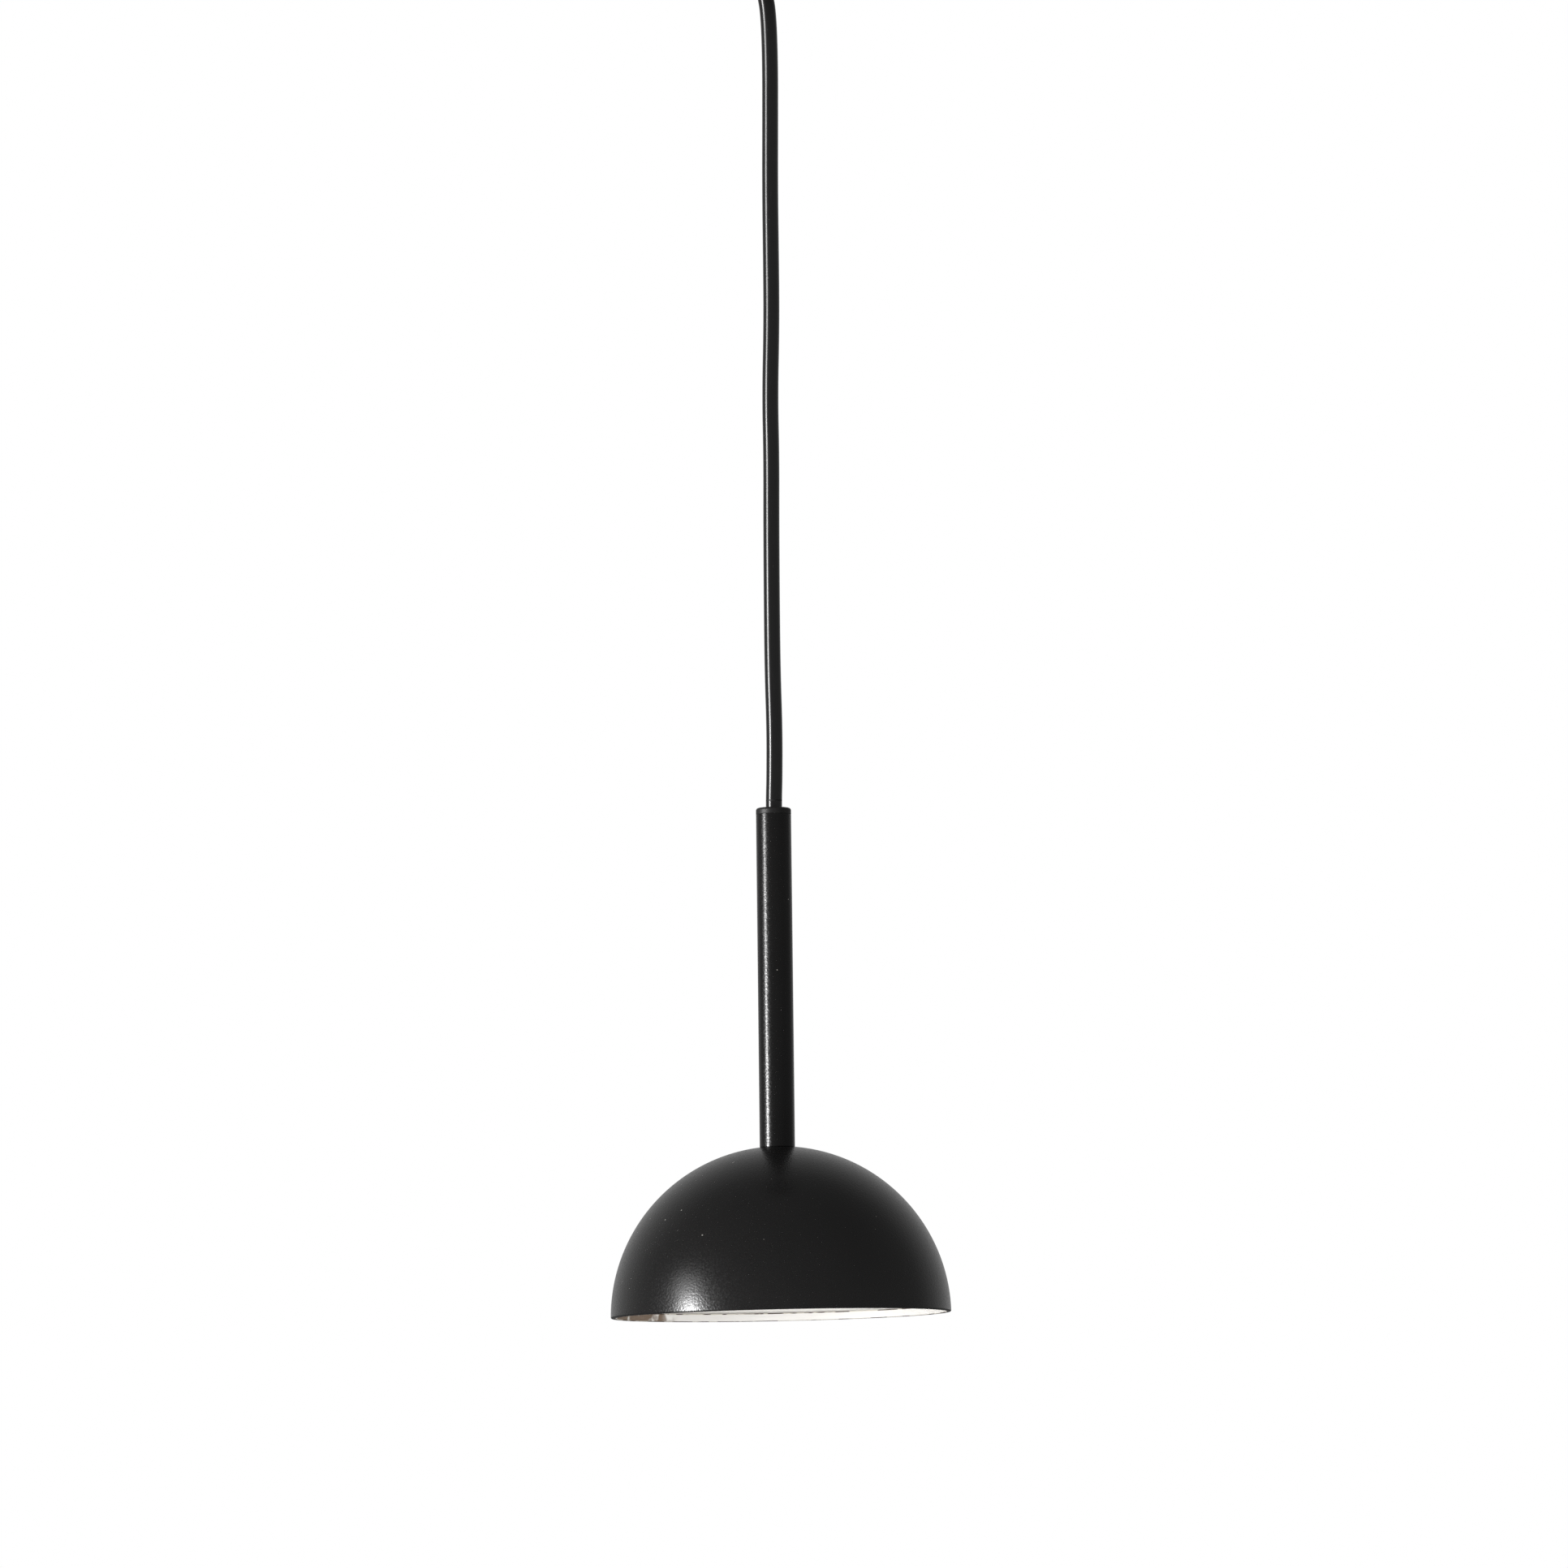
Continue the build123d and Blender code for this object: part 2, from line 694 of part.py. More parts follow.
# Strap that hangs the lampholder from the nipple
strap_inside = holder_length / 2 + fit_gap
strap_outside = strap_inside + strap_height
z_holder_screw = z_holder_top - holder_screw_drop
z_strap_end = z_holder_screw - strap_width / 2
with BuildPart() as holder_strap:
    with BuildSketch(Plane.XZ):
        with BuildLine():
            z_under = z_strap_top - strap_height
            outer_bend = strap_bend + strap_height
            FilletPolyline(
                (-strap_outside, z_strap_top),
                (strap_outside, z_strap_top),
                (strap_outside, z_strap_end),
                (strap_inside, z_strap_end),
                (strap_inside, z_under),
                (-strap_inside, z_under),
                (-strap_inside, z_strap_end),
                (-strap_outside, z_strap_end),
                radius=[outer_bend, outer_bend, 0, 0, strap_bend, strap_bend, 0, 0],
                close=True,
            )
        make_face()
    extrude(amount=strap_width / 2, both=True)
    fillet(holder_strap.edges().filter_by(Axis.X).group_by(Axis.Z)[0], strap_width * 0.45)
    with Locations((0, 0, z_strap_top)):
        Hole(thread_pass_radius, depth=strap_height)
    with BuildSketch(Plane.YZ):
        with Locations((0, z_holder_screw)):
            Circle(holder_screw_diameter / 2 + hole_clearance)
    extrude(amount=strap_outside, both=True, mode=Mode.SUBTRACT)
finish(holder_strap, "holder_strap")

# Lampholder: a ceramic block with the bulb's socket, two contact chambers and wire holes
contact_places = [(-pin_spacing / 2, 0), (pin_spacing / 2, 0)]
with BuildPart() as lampholder:
    with BuildSketch(Plane.XY.offset(z_holder_base)):
        RectangleRounded(holder_length, holder_width, holder_corner)
    extrude(amount=holder_height)
    fillet(lampholder.edges().group_by(Axis.Z)[-1], holder_edge_round)
    with BuildSketch(Plane.XY.offset(z_holder_base)):
        RectangleRounded(socket_length, socket_width, socket_width / 4)
    extrude(amount=socket_depth, mode=Mode.SUBTRACT)
    with BuildSketch(Plane.XY.offset(z_socket_roof)):
        with Locations(*contact_places):
            Rectangle(contact_room_length, contact_room_width)
    extrude(amount=contact_room_height, mode=Mode.SUBTRACT)
    with BuildSketch(Plane.XY.offset(z_socket_roof)):
        with Locations(*contact_places):
            Circle(wire_hole_diameter / 2)
    extrude(amount=holder_height, mode=Mode.SUBTRACT)
    for side in (-1, 1):
        with BuildSketch(Plane(origin=(side * holder_length / 2, 0, z_holder_screw), z_dir=(-side, 0, 0))):
            Circle(holder_screw_diameter / 2 + thread_clearance)
        extrude(amount=holder_screw_length - strap_height, mode=Mode.SUBTRACT)
finish(lampholder, "lampholder")

# Contact springs: two leaves joined over each pin
leaf_gap = pin_wire / 2 + fit_gap
with BuildPart() as contact_springs:
    for place, _ in contact_places:
        with BuildSketch(Plane.YZ.offset(place)):
            with BuildLine():
                leaf_face = leaf_gap + contact_strip
                z_leaf_end = z_socket_roof + fit_gap
                Polyline(
                    (-leaf_face, z_leaf_end),
                    (-leaf_face, z_contact_top),
                    (leaf_face, z_contact_top),
                    (leaf_face, z_leaf_end),
                    (leaf_gap, z_leaf_end),
                    (leaf_gap, z_contact_top - contact_strip),
                    (-leaf_gap, z_contact_top - contact_strip),
                    (-leaf_gap, z_leaf_end),
                    close=True,
                )
            make_face()
        extrude(amount=contact_strip_width / 2, both=True)
finish(contact_springs, "contact_springs")

with BuildPart() as holder_screws:
    for side in (-1, 1):
        head_plane = Plane(origin=(side * strap_outside, 0, z_holder_screw), z_dir=(side, 0, 0))
        with BuildSketch(head_plane):
            Circle(holder_screw_diameter / 2)
        extrude(amount=-holder_screw_length + fit_gap)
        with BuildSketch(head_plane):
            Circle(holder_screw_head_diameter / 2)
        extrude(amount=holder_screw_head_height)
        with BuildSketch(head_plane.offset(holder_screw_head_height)):
            Rectangle(holder_screw_head_diameter, holder_screw_head_diameter / 6)
        extrude(amount=-holder_screw_head_height / 2, mode=Mode.SUBTRACT)
finish(holder_screws, "holder_screws")

# Cores down the stem: live and neutral to the contacts, earth to the tag
z_core_top = z_lower_end - slip_gap
lamp_cores = {"live_wire": (150, -1), "neutral_wire": (30, 1)}
for label, (angle, side) in lamp_cores.items():
    x, y = core_place(angle)
    wire = insulated_wire(
        [
            (x, y, z_core_top),
            (x, y, z_nipple_end),
            (side * pin_spacing / 2, 0, z_holder_top + core_diameter / 2),
            (side * pin_spacing / 2, 0, z_contact_top + fit_gap),
        ]
    )
    finish(wire, label)

x, y = core_place(270)
z_turn = z_holder_top + core_diameter
tail_middle = -tag_reach - tag_height / 2
earth_route = [
    (x, y, z_core_top),
    (x, y, z_turn),
    (x, tail_middle, z_turn),
    (x, tail_middle, z_tag_top - tag_tail_drop),
]
finish(insulated_wire(earth_route), "earth_wire")

# Bulb: plug and collar, two pin loops, opal cover and the board inside
with BuildPart() as bulb_base:
    with BuildSketch(Plane.XY.offset(z_collar_top)):
        RectangleRounded(socket_length - 4 * slip_gap, socket_width - 4 * slip_gap, socket_width / 5)
    extrude(amount=plug_height)
    with BuildSketch(Plane.XZ):
        with BuildLine():
            FilletPolyline(
                (0, z_collar_top),
                (bulb_diameter / 2, z_collar_top),
                (bulb_diameter / 2, z_collar_base),
                (0, z_collar_base),
                radius=[0, bulb_collar_round, 0, 0],
                close=True,
            )
        make_face()
    revolve(axis=Axis.Z)
finish(bulb_base, "bulb_base")

with BuildPart() as bulb_pins:
    for place, _ in contact_places:
        half_loop = (pin_loop_width - pin_wire) / 2
        z_loop_top = z_pin_top - pin_wire / 2
        loop = [
            (place - half_loop, 0, z_plug_top),
            (place - half_loop, 0, z_loop_top),
            (place + half_loop, 0, z_loop_top),
            (place + half_loop, 0, z_plug_top),
        ]
        with BuildLine():
            FilletPolyline(*loop, radius=half_loop * 0.95)
        with BuildSketch(Plane(origin=loop[0], z_dir=(0, 0, 1))):
            Circle(pin_wire / 2)
        sweep()
finish(bulb_pins, "bulb_pins")

cover_radius = bulb_diameter / 2
with BuildPart() as bulb_cover:
    with BuildSketch(Plane.XZ):
        with BuildLine():
            z_dome = z_bulb_tip + cover_radius
            inner = cover_radius - bulb_wall
            slant = math.sqrt(0.5)
            Line((inner, z_collar_base), (cover_radius, z_collar_base))
            Line((cover_radius, z_collar_base), (cover_radius, z_dome))
            ThreePointArc(
                (cover_radius, z_dome),
                (cover_radius * slant, z_dome - cover_radius * slant),
                (0, z_bulb_tip),
            )
            Line((0, z_bulb_tip), (0, z_bulb_tip + bulb_wall))
            ThreePointArc(
                (0, z_bulb_tip + bulb_wall),
                (inner * slant, z_dome - inner * slant),
                (inner, z_dome),
            )
            Line((inner, z_dome), (inner, z_collar_base))
        make_face()
    revolve(axis=Axis.Z)
finish(bulb_cover, "bulb_cover")

with BuildPart() as led_board:
    with BuildSketch(Plane.XY.offset(z_collar_base)):
        Rectangle(led_board_width, led_board_thickness)
    extrude(amount=-led_board_height)
    chip_rows = GridLocations(led_board_width / 2, led_board_height / 4, 2, 3)
    for face in (-1, 1):
        chip_plane = Plane(
            origin=(0, face * led_board_thickness / 2, z_collar_base - led_board_height / 2),
            x_dir=(1, 0, 0),
            z_dir=(0, face, 0),
        )
        with BuildSketch(chip_plane):
            with chip_rows:
                Rectangle(led_board_width / 4, led_board_width / 4)
        extrude(amount=led_board_thickness / 2)
finish(led_board, "led_board")

print("height", round(-z_rim, 1), "bulb tip over the rim", round(z_bulb_tip - z_rim, 1))
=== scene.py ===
# %% [markdown]
# # A pendant lamp, from solid parts to a picture
# The lamp is a half-sphere shade of spun metal on a short stem. A smooth black cord hangs it from a
# ceiling cup. Its parts were drawn as exact solids first, and they arrive here as a fixed frame: one
# object per part, in metres, with the ceiling at height 0. Modelling them again by eye would be slower
# and less true, so this lesson keeps that frame and gives each part its surface.

# %% Load the fixed frame
import math

import bpy
from mathutils import Matrix, Vector


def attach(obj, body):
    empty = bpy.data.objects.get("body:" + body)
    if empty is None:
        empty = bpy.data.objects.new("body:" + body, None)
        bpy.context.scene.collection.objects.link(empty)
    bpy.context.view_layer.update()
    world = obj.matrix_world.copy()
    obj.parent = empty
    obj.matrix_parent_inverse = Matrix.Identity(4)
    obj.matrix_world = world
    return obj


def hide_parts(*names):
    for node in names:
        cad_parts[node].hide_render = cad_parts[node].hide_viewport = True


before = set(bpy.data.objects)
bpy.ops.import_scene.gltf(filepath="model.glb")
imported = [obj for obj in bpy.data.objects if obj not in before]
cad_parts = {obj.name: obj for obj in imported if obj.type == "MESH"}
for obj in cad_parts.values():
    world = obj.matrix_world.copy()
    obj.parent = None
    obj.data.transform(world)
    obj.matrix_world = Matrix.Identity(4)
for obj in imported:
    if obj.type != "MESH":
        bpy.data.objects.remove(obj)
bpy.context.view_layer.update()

# %% [markdown]
# ## The camera
# The photograph looks slightly up at the lamp through a long lens, so the shade's far rim shows just
# under the near one. A camera can be aimed with a tracking constraint, but that leaves no say in its
# roll. Here the three axes of the view are worked out and written straight into the camera's matrix.

# %% Camera
camera_place = Vector((0.0, -2.7, -0.63641))
pitch, yaw, roll = (math.radians(angle) for angle in (6.159, 0.085, -0.671))
lens_mm, sensor_mm = 168.6, 36.0

forward = Vector((math.sin(yaw) * math.cos(pitch), math.cos(yaw) * math.cos(pitch), math.sin(pitch)))
level_right = forward.cross(Vector((0.0, 0.0, 1.0))).normalized()
level_up = level_right.cross(forward)
right = math.cos(roll) * level_right + math.sin(roll) * level_up
up = math.cos(roll) * level_up - math.sin(roll) * level_right

camera_data = bpy.data.cameras.new("photo_camera")
camera_data.lens = lens_mm
camera_data.sensor_width = sensor_mm
camera = bpy.data.objects.new("photo_camera", camera_data)
camera.matrix_world = Matrix((right, up, -forward)).transposed().to_4x4()
camera.matrix_world.translation = camera_place
bpy.context.scene.collection.objects.link(camera)
bpy.context.scene.camera = camera
bpy.context.scene.view_settings.view_transform = "Standard"
print("camera at", tuple(camera_place), "with a lens of", lens_mm, "mm")

# %% [markdown]
# ## Colours, sizes and nodes
# A colour picked from a screen is an sRGB value, and Blender's nodes want linear light, so one function
# turns a hex code round. A texture's Scale counts repeats per metre, so another turns a real grain size
# in millimetres into that number. A third adds a node with its settings and its links in one line, and
# the last starts a material. A Mix node keeps a pair of sockets for each kind of data, all of the same
# names, so its sockets are picked by number, and the numbers get names here. A Math node's sockets are
# simply counted from 0.


# %% Small helpers for materials
def colour(hex_code):
    """Linear red, green, blue and alpha of an sRGB hex code."""
    parts = [int(hex_code[i:i + 2], 16) / 255 for i in (1, 3, 5)]
    linear = [p / 12.92 if p <= 0.04045 else ((p + 0.055) / 1.055) ** 2.4 for p in parts]
    return (*linear, 1.0)


def repeats(size_mm):
    """How often a pattern of this size in millimetres repeats in a metre."""
    return 1000.0 / size_mm


def add_node(tree, kind, inputs=None, **settings):
    """Adds a node, sets its settings, and fills its sockets with values or links."""
    node = tree.nodes.new(kind)
    for name, value in settings.items():
        setattr(node, name, value)
    for socket, value in (inputs or {}).items():
        if isinstance(value, bpy.types.NodeSocket):
            tree.links.new(value, node.inputs[socket])
        else:
            node.inputs[socket].default_value = value
    return node


def start_finish(name, **sockets):
    """A new material, its node tree, its shader and the object coordinates its patterns lie on."""
    finish = bpy.data.materials.new(name)
    finish.use_nodes = True
    tree = finish.node_tree
    shader = tree.nodes["Principled BSDF"]
    for socket, value in sockets.items():
        shader.inputs[socket.replace("_", " ")].default_value = value
    place = add_node(tree, "ShaderNodeTexCoord").outputs["Object"]
    return finish, tree, shader, place


mix_share, number_a, number_b, colour_a, colour_b = 0, 2, 3, 6, 7
mixed_number, mixed_colour = 0, 2
# most of a noise texture's values lie in this range
noise_low, noise_high = 0.3, 0.7
print("a mid grey of #808080 is", round(colour("#808080")[0], 3), "in linear light")

# %% [markdown]
# ## The cord's sheath
# The cord has a smooth PVC sheath that was squeezed through a die over three twisted cores. The twist
# leaves tiny ripples across its run, so a highlight on it is drawn out to one long streak. Those ripples
# are finer than a pixel. Modelled as bumps they would only flicker, so the shader is told the average
# instead: anisotropic gloss, rough along the cord and smooth round it. Slow noise varies the gloss.

# %% Black PVC sheath
# extruded soft PVC with a polished skin: black, one long bright streak, slightly uneven gloss
pvc_sheath, tree, shader, place = start_finish(
    "black_pvc_sheath", IOR=1.53, Specular_IOR_Level=1.15, Anisotropic=0.8)
# each die line is many times as long as it is wide
die_line_stretch = 25.0
drawn = add_node(tree, "ShaderNodeMapping", {"Vector": place, "Scale": (1.0, 1.0, 1.0 / die_line_stretch)})
# real die lines are about 0.1 mm apart, drawn coarser so that they show
die_lines = add_node(tree, "ShaderNodeTexNoise", {
    "Vector": drawn.outputs["Vector"], "Scale": repeats(0.9), "Detail": 2.0})
tint = add_node(tree, "ShaderNodeMix", {
    mix_share: die_lines.outputs["Fac"], colour_a: colour("#050506"), colour_b: colour("#0d0c0d")},
    data_type="RGBA")
tree.links.new(tint.outputs[mixed_colour], shader.inputs["Base Color"])
slow_gloss = add_node(tree, "ShaderNodeTexNoise", {"Vector": place, "Scale": repeats(9.0), "Detail": 2.0})
gloss = add_node(tree, "ShaderNodeMapRange", {
    "Value": slow_gloss.outputs["Fac"], "From Min": noise_low, "From Max": noise_high,
    "To Min": 0.32, "To Max": 0.37})
# a thin sleeve ends just above the stem's plug, and its dull cut edge breaks the streak
sleeve_end_z, sleeve_cut, cut_roughness = -0.35125, 0.0002, 0.9
run_height = add_node(tree, "ShaderNodeSeparateXYZ", {0: place})
sleeve_edge = add_node(tree, "ShaderNodeMath", {
    0: run_height.outputs["Z"], 1: sleeve_end_z, 2: sleeve_cut}, operation="COMPARE")
broken = add_node(tree, "ShaderNodeMix", {
    mix_share: sleeve_edge.outputs[0], number_a: gloss.outputs["Result"], number_b: cut_roughness})
tree.links.new(broken.outputs[mixed_number], shader.inputs["Roughness"])
along = add_node(tree, "ShaderNodeCombineXYZ", {"Z": 1.0})
tree.links.new(along.outputs[0], shader.inputs["Tangent"])
print("sheath:", pvc_sheath.name)

# %% [markdown]
# ## The cord
# The cord is 6 mm thick and hangs taut under the lamp's weight, but it still remembers the drum it came
# off, so it wanders by a millimetre or two. A cylinder would be dead straight. A NURBS curve with a round
# bevel is one smooth line led by a few given points.


# %% Cord on a smooth curve
def lay_flex(name, route_mm, diameter_mm, finish):
    """A round flex along one open NURBS spline, its control points in millimetres."""
    data = bpy.data.curves.new(name, "CURVE")
    data.dimensions = "3D"
    spline = data.splines.new("NURBS")
    spline.points.add(len(route_mm) - 1)
    for point, (x, y, z) in zip(spline.points, route_mm):
        point.co = (x / 1000, y / 1000, z / 1000, 1.0)
    spline.order_u = 3
    spline.use_endpoint_u = True
    spline.resolution_u = 16
    data.bevel_depth = diameter_mm / 2000
    data.bevel_resolution = 10
    data.use_fill_caps = True
    data.materials.append(finish)
    flex = bpy.data.objects.new(name, data)
    bpy.context.scene.collection.objects.link(flex)
    print(name, "has", len(route_mm), "control points and is", diameter_mm, "mm thick")
    return flex


cord_route = [
    (0.0, 0.0, -43.2), (0.2, 0.0, -47.0), (1.5, 0.0, -54.5), (2.0, 0.1, -72.0), (1.75, 0.3, -96.0),
    (1.4, 0.4, -122.0), (1.45, 0.2, -150.0), (1.35, 0.0, -173.0), (0.5, -0.2, -200.0), (0.75, -0.1, -222.0),
    (0.4, 0.1, -250.0), (0.25, 0.2, -284.0), (0.3, 0.1, -304.0), (0.75, 0.0, -325.0),
    (0.5, 0.0, -343.0), (0.2, 0.0, -351.0), (0.2, 0.0, -355.2)]
cord_mm = 6.0
cord_run = lay_flex("cord_run", cord_route, cord_mm, pvc_sheath)
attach(cord_run, "cord")
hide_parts("cord", "cord_bend")

# %% [markdown]
# ## The cord's held ends and the wires
# Inside the grip and inside the stem the cord is held straight, and past its sheath three thin cores
# go on to the terminals. They are short flexes of the same kind, so the same function lays them. The
# cores are coloured as everywhere: brown live, blue neutral, green and yellow earth.

# %% Wire insulation
# extruded hard PVC on the cores: even colour, soft gloss
# core, light and dark colour, band scale in mm, how far bands wander, where the colours change over
core_table = [
    ("live", "#7a4b2c", "#5f3820", 18.0, 6.0, 0.0, 1.0),
    ("neutral", "#2f6fb4", "#245a96", 18.0, 6.0, 0.0, 1.0),
    # two clear colours in broad stripes, where the others only vary a little
    ("earth", "#d9c11f", "#3c7d35", 72.0, 0.0, 0.62, 0.68),
]
wire_finishes = {}
for core, light, dark, band_mm, wander, change_from, change_to in core_table:
    wire_finish, tree, shader, place = start_finish(core + "_core_pvc", Roughness=0.38)
    # along an axis, a diagonal wave repeats every 0.63 of the size that is given
    bands = add_node(tree, "ShaderNodeTexWave", {
        "Vector": place, "Scale": repeats(band_mm), "Distortion": wander}, bands_direction="DIAGONAL")
    cut = add_node(tree, "ShaderNodeMapRange", {
        "Value": bands.outputs["Fac"], "From Min": change_from, "From Max": change_to})
    tint = add_node(tree, "ShaderNodeMix", {
        mix_share: cut.outputs["Result"], colour_a: colour(dark), colour_b: colour(light)},
        data_type="RGBA")
    tree.links.new(tint.outputs[mixed_colour], shader.inputs["Base Color"])
    wire_finishes[core] = wire_finish
print("core colours:", ", ".join(wire_finishes))

# %% Held cord ends and cores
core_mm = 2.0
# name, the solid it stands for, body, slot, diameter, finish, control points in millimetres
held_flexes = [
    ("cord_in_grip", "cord_upper_end", "ceiling_fitting", "black_pvc", cord_mm, pvc_sheath,
     [(0.0, 0.0, -17.5), (0.0, 0.0, -29.0), (0.0, 0.0, -41.0)]),
    ("cord_in_stem", "cord_lower_end", "lamp", "black_pvc", cord_mm, pvc_sheath,
     [(0.0, 0.0, -355.5), (0.0, 0.0, -365.0), (0.0, 0.0, -374.4)]),
    ("canopy_live_core", "canopy_live_wire", "ceiling_fitting", "brown_wire", core_mm, wire_finishes["live"],
     [(-0.73, 1.26, -17.5), (-0.73, 1.26, -8.5), (5.0, 8.5, -8.5), (15.16, 8.5, -8.5)]),
    ("canopy_neutral_core", "canopy_neutral_wire", "ceiling_fitting", "blue_wire", core_mm,
     wire_finishes["neutral"],
     [(-0.73, -1.26, -17.5), (-0.73, -1.26, -8.5), (5.0, -8.5, -8.5), (15.16, -8.5, -8.5)]),
    ("canopy_earth_core", "canopy_earth_wire", "ceiling_fitting", "earth_wire_green", core_mm,
     wire_finishes["earth"], [(1.45, 0.0, -17.5), (1.45, 0.0, -8.5), (15.16, 0.0, -8.5)]),
    ("lamp_live_core", "live_wire", "lamp", "brown_wire", core_mm, wire_finishes["live"],
     [(-1.26, 0.73, -374.7), (-1.26, 0.73, -489.4), (-4.5, 0.0, -495.2), (-4.5, 0.0, -498.3)]),
    ("lamp_neutral_core", "neutral_wire", "lamp", "blue_wire", core_mm, wire_finishes["neutral"],
     [(1.26, 0.73, -374.7), (1.26, 0.73, -489.4), (4.5, 0.0, -495.2), (4.5, 0.0, -498.3)]),
    ("lamp_earth_core", "earth_wire", "lamp", "earth_wire_green", core_mm, wire_finishes["earth"],
     [(0.0, -1.45, -374.7), (0.0, -1.45, -494.2), (0.0, -9.68, -494.2), (0.0, -9.68, -490.5)]),
]
for name, node, body, slot, diameter_mm, finish, route in held_flexes:
    flex = lay_flex(name, route, diameter_mm, finish)
    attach(flex, body)
    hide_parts(node)

# %% [markdown]
# ## The black powder coat
# The shade, the stem and the ceiling cup are metal with a baked powder coat. It is satin, not glossy,
# and it flows out to a fine orange peel whose small facets sparkle round each highlight. On the thin
# stem it flows out smoother. A smooth dark shader would look like glass, so a fine noise drives both
# the bump and the roughness, a slow one shifts the black a little, and a sparse cell pattern leaves a
# few specks of dust. One loop builds both grades.

# %% Black powder coat
# polyester powder coat: satin black, orange peel of about 0.5 mm, drawn at 0.7 mm so that it shows
peel_mm, mottle_mm, speck_spacing_mm = 0.7, 22.0, 9.0
# a speck is solid within its core and fades out to its edge, both radii as shares of the spacing
speck_core, speck_edge = 0.018, 0.036
smoothest, roughest = 0.20, 0.30
coats = {}
# name, two blacks to vary between, depth of the peel in metres
for name, dark, light, peel_depth in (
        ("satin_powder_coat", "#131313", "#1a1919", 0.00005),
        ("smooth_powder_coat", "#0d0d0d", "#131212", 0.00004)):
    coat, tree, shader, place = start_finish(name, IOR=1.5)
    peel = add_node(tree, "ShaderNodeTexNoise", {
        "Vector": place, "Scale": repeats(peel_mm), "Detail": 1.0, "Roughness": 0.5})
    mottle = add_node(tree, "ShaderNodeTexNoise", {
        "Vector": place, "Scale": repeats(mottle_mm), "Detail": 3.0})
    black = add_node(tree, "ShaderNodeMix", {
        mix_share: mottle.outputs["Fac"], colour_a: colour(dark), colour_b: colour(light)},
        data_type="RGBA")
    speck_cells = add_node(tree, "ShaderNodeTexVoronoi", {
        "Vector": place, "Scale": repeats(speck_spacing_mm)})
    speck_shape = add_node(tree, "ShaderNodeMapRange", {
        "Value": speck_cells.outputs["Distance"], "From Min": speck_edge, "From Max": speck_core})
    dusty = add_node(tree, "ShaderNodeMix", {
        mix_share: speck_shape.outputs["Result"], colour_a: black.outputs[mixed_colour],
        colour_b: colour("#a5a29c")}, data_type="RGBA")
    tree.links.new(dusty.outputs[mixed_colour], shader.inputs["Base Color"])
    satin = add_node(tree, "ShaderNodeMapRange", {
        "Value": peel.outputs["Fac"], "From Min": noise_low, "From Max": noise_high,
        "To Min": smoothest, "To Max": roughest})
    tree.links.new(satin.outputs["Result"], shader.inputs["Roughness"])
    relief = add_node(tree, "ShaderNodeBump", {
        "Height": peel.outputs["Fac"], "Strength": 1.0, "Distance": peel_depth})
    tree.links.new(relief.outputs["Normal"], shader.inputs["Normal"])
    coats[name] = coat
print("coats:", ", ".join(coats))

# %% [markdown]
# ## The white inside and the bare edge
# The shade is white inside so that it throws the light down. That coat is a satin white paint with the
# same slight peel. Where the rim is folded in, the paint covers the fold and the cut edge of the sheet
# only in places, and the bare rest shows as thin, broken brown lines. The hem's left end lies in shade,
# and that shade is painted into the white as broken warm brown patches. Modelled chips would be far too
# small, so noise in the two finishes breaks up the paint and the painted shade.

# %% White inside coat and bare sheet edge
# satin white paint: bright, warm by a trace, soft gloss
white_coat, tree, shader, place = start_finish("white_inside_coat", IOR=1.5)
peel = add_node(tree, "ShaderNodeTexNoise", {"Vector": place, "Scale": repeats(1.4), "Detail": 2.0})
cloud = add_node(tree, "ShaderNodeTexNoise", {"Vector": place, "Scale": repeats(30.0), "Detail": 2.0})
white = add_node(tree, "ShaderNodeMix", {
    mix_share: cloud.outputs["Fac"], colour_a: colour("#f1efeb"), colour_b: colour("#f8f7f5")},
    data_type="RGBA")
# painted shade: the left end of the hem lies in shade, and that shade is painted in as warm brown
# in metres, where the painted shade starts and where it is complete
shade_from_x, shade_to_x = -0.037, -0.044
hem_from_z, hem_to_z = -0.5376, -0.5384
spot = add_node(tree, "ShaderNodeSeparateXYZ", {0: place})
leftward = add_node(tree, "ShaderNodeMapRange", {
    "Value": spot.outputs["X"], "From Min": shade_from_x, "From Max": shade_to_x})
on_hem = add_node(tree, "ShaderNodeMapRange", {
    "Value": spot.outputs["Z"], "From Min": hem_from_z, "From Max": hem_to_z})
# noise breaks the painted shade on the hem into patches
hem_shade_noise = add_node(tree, "ShaderNodeTexNoise", {"Vector": place, "Scale": repeats(6.0), "Detail": 2.0})
hem_shade_patches = add_node(tree, "ShaderNodeMapRange", {
    "Value": hem_shade_noise.outputs["Fac"], "From Min": 0.36, "From Max": 0.48})
left_hem = add_node(tree, "ShaderNodeMath", {
    0: leftward.outputs["Result"], 1: on_hem.outputs["Result"]}, operation="MULTIPLY")
painted_hem_shade = add_node(tree, "ShaderNodeMath", {
    0: left_hem.outputs[0], 1: hem_shade_patches.outputs["Result"]}, operation="MULTIPLY")
# the painted shade's warm brown takes the place of the white on the hem's left end
inside_tint = add_node(tree, "ShaderNodeMix", {
    mix_share: painted_hem_shade.outputs[0], colour_a: white.outputs[mixed_colour], colour_b: colour("#7d6c5d")},
    data_type="RGBA")
tree.links.new(inside_tint.outputs[mixed_colour], shader.inputs["Base Color"])
satin = add_node(tree, "ShaderNodeMapRange", {
    "Value": peel.outputs["Fac"], "From Min": noise_low, "From Max": noise_high,
    "To Min": 0.55, "To Max": 0.65})
tree.links.new(satin.outputs["Result"], shader.inputs["Roughness"])
relief = add_node(tree, "ShaderNodeBump", {
    "Height": peel.outputs["Fac"], "Strength": 0.4, "Distance": 0.00002})
tree.links.new(relief.outputs["Normal"], shader.inputs["Normal"])

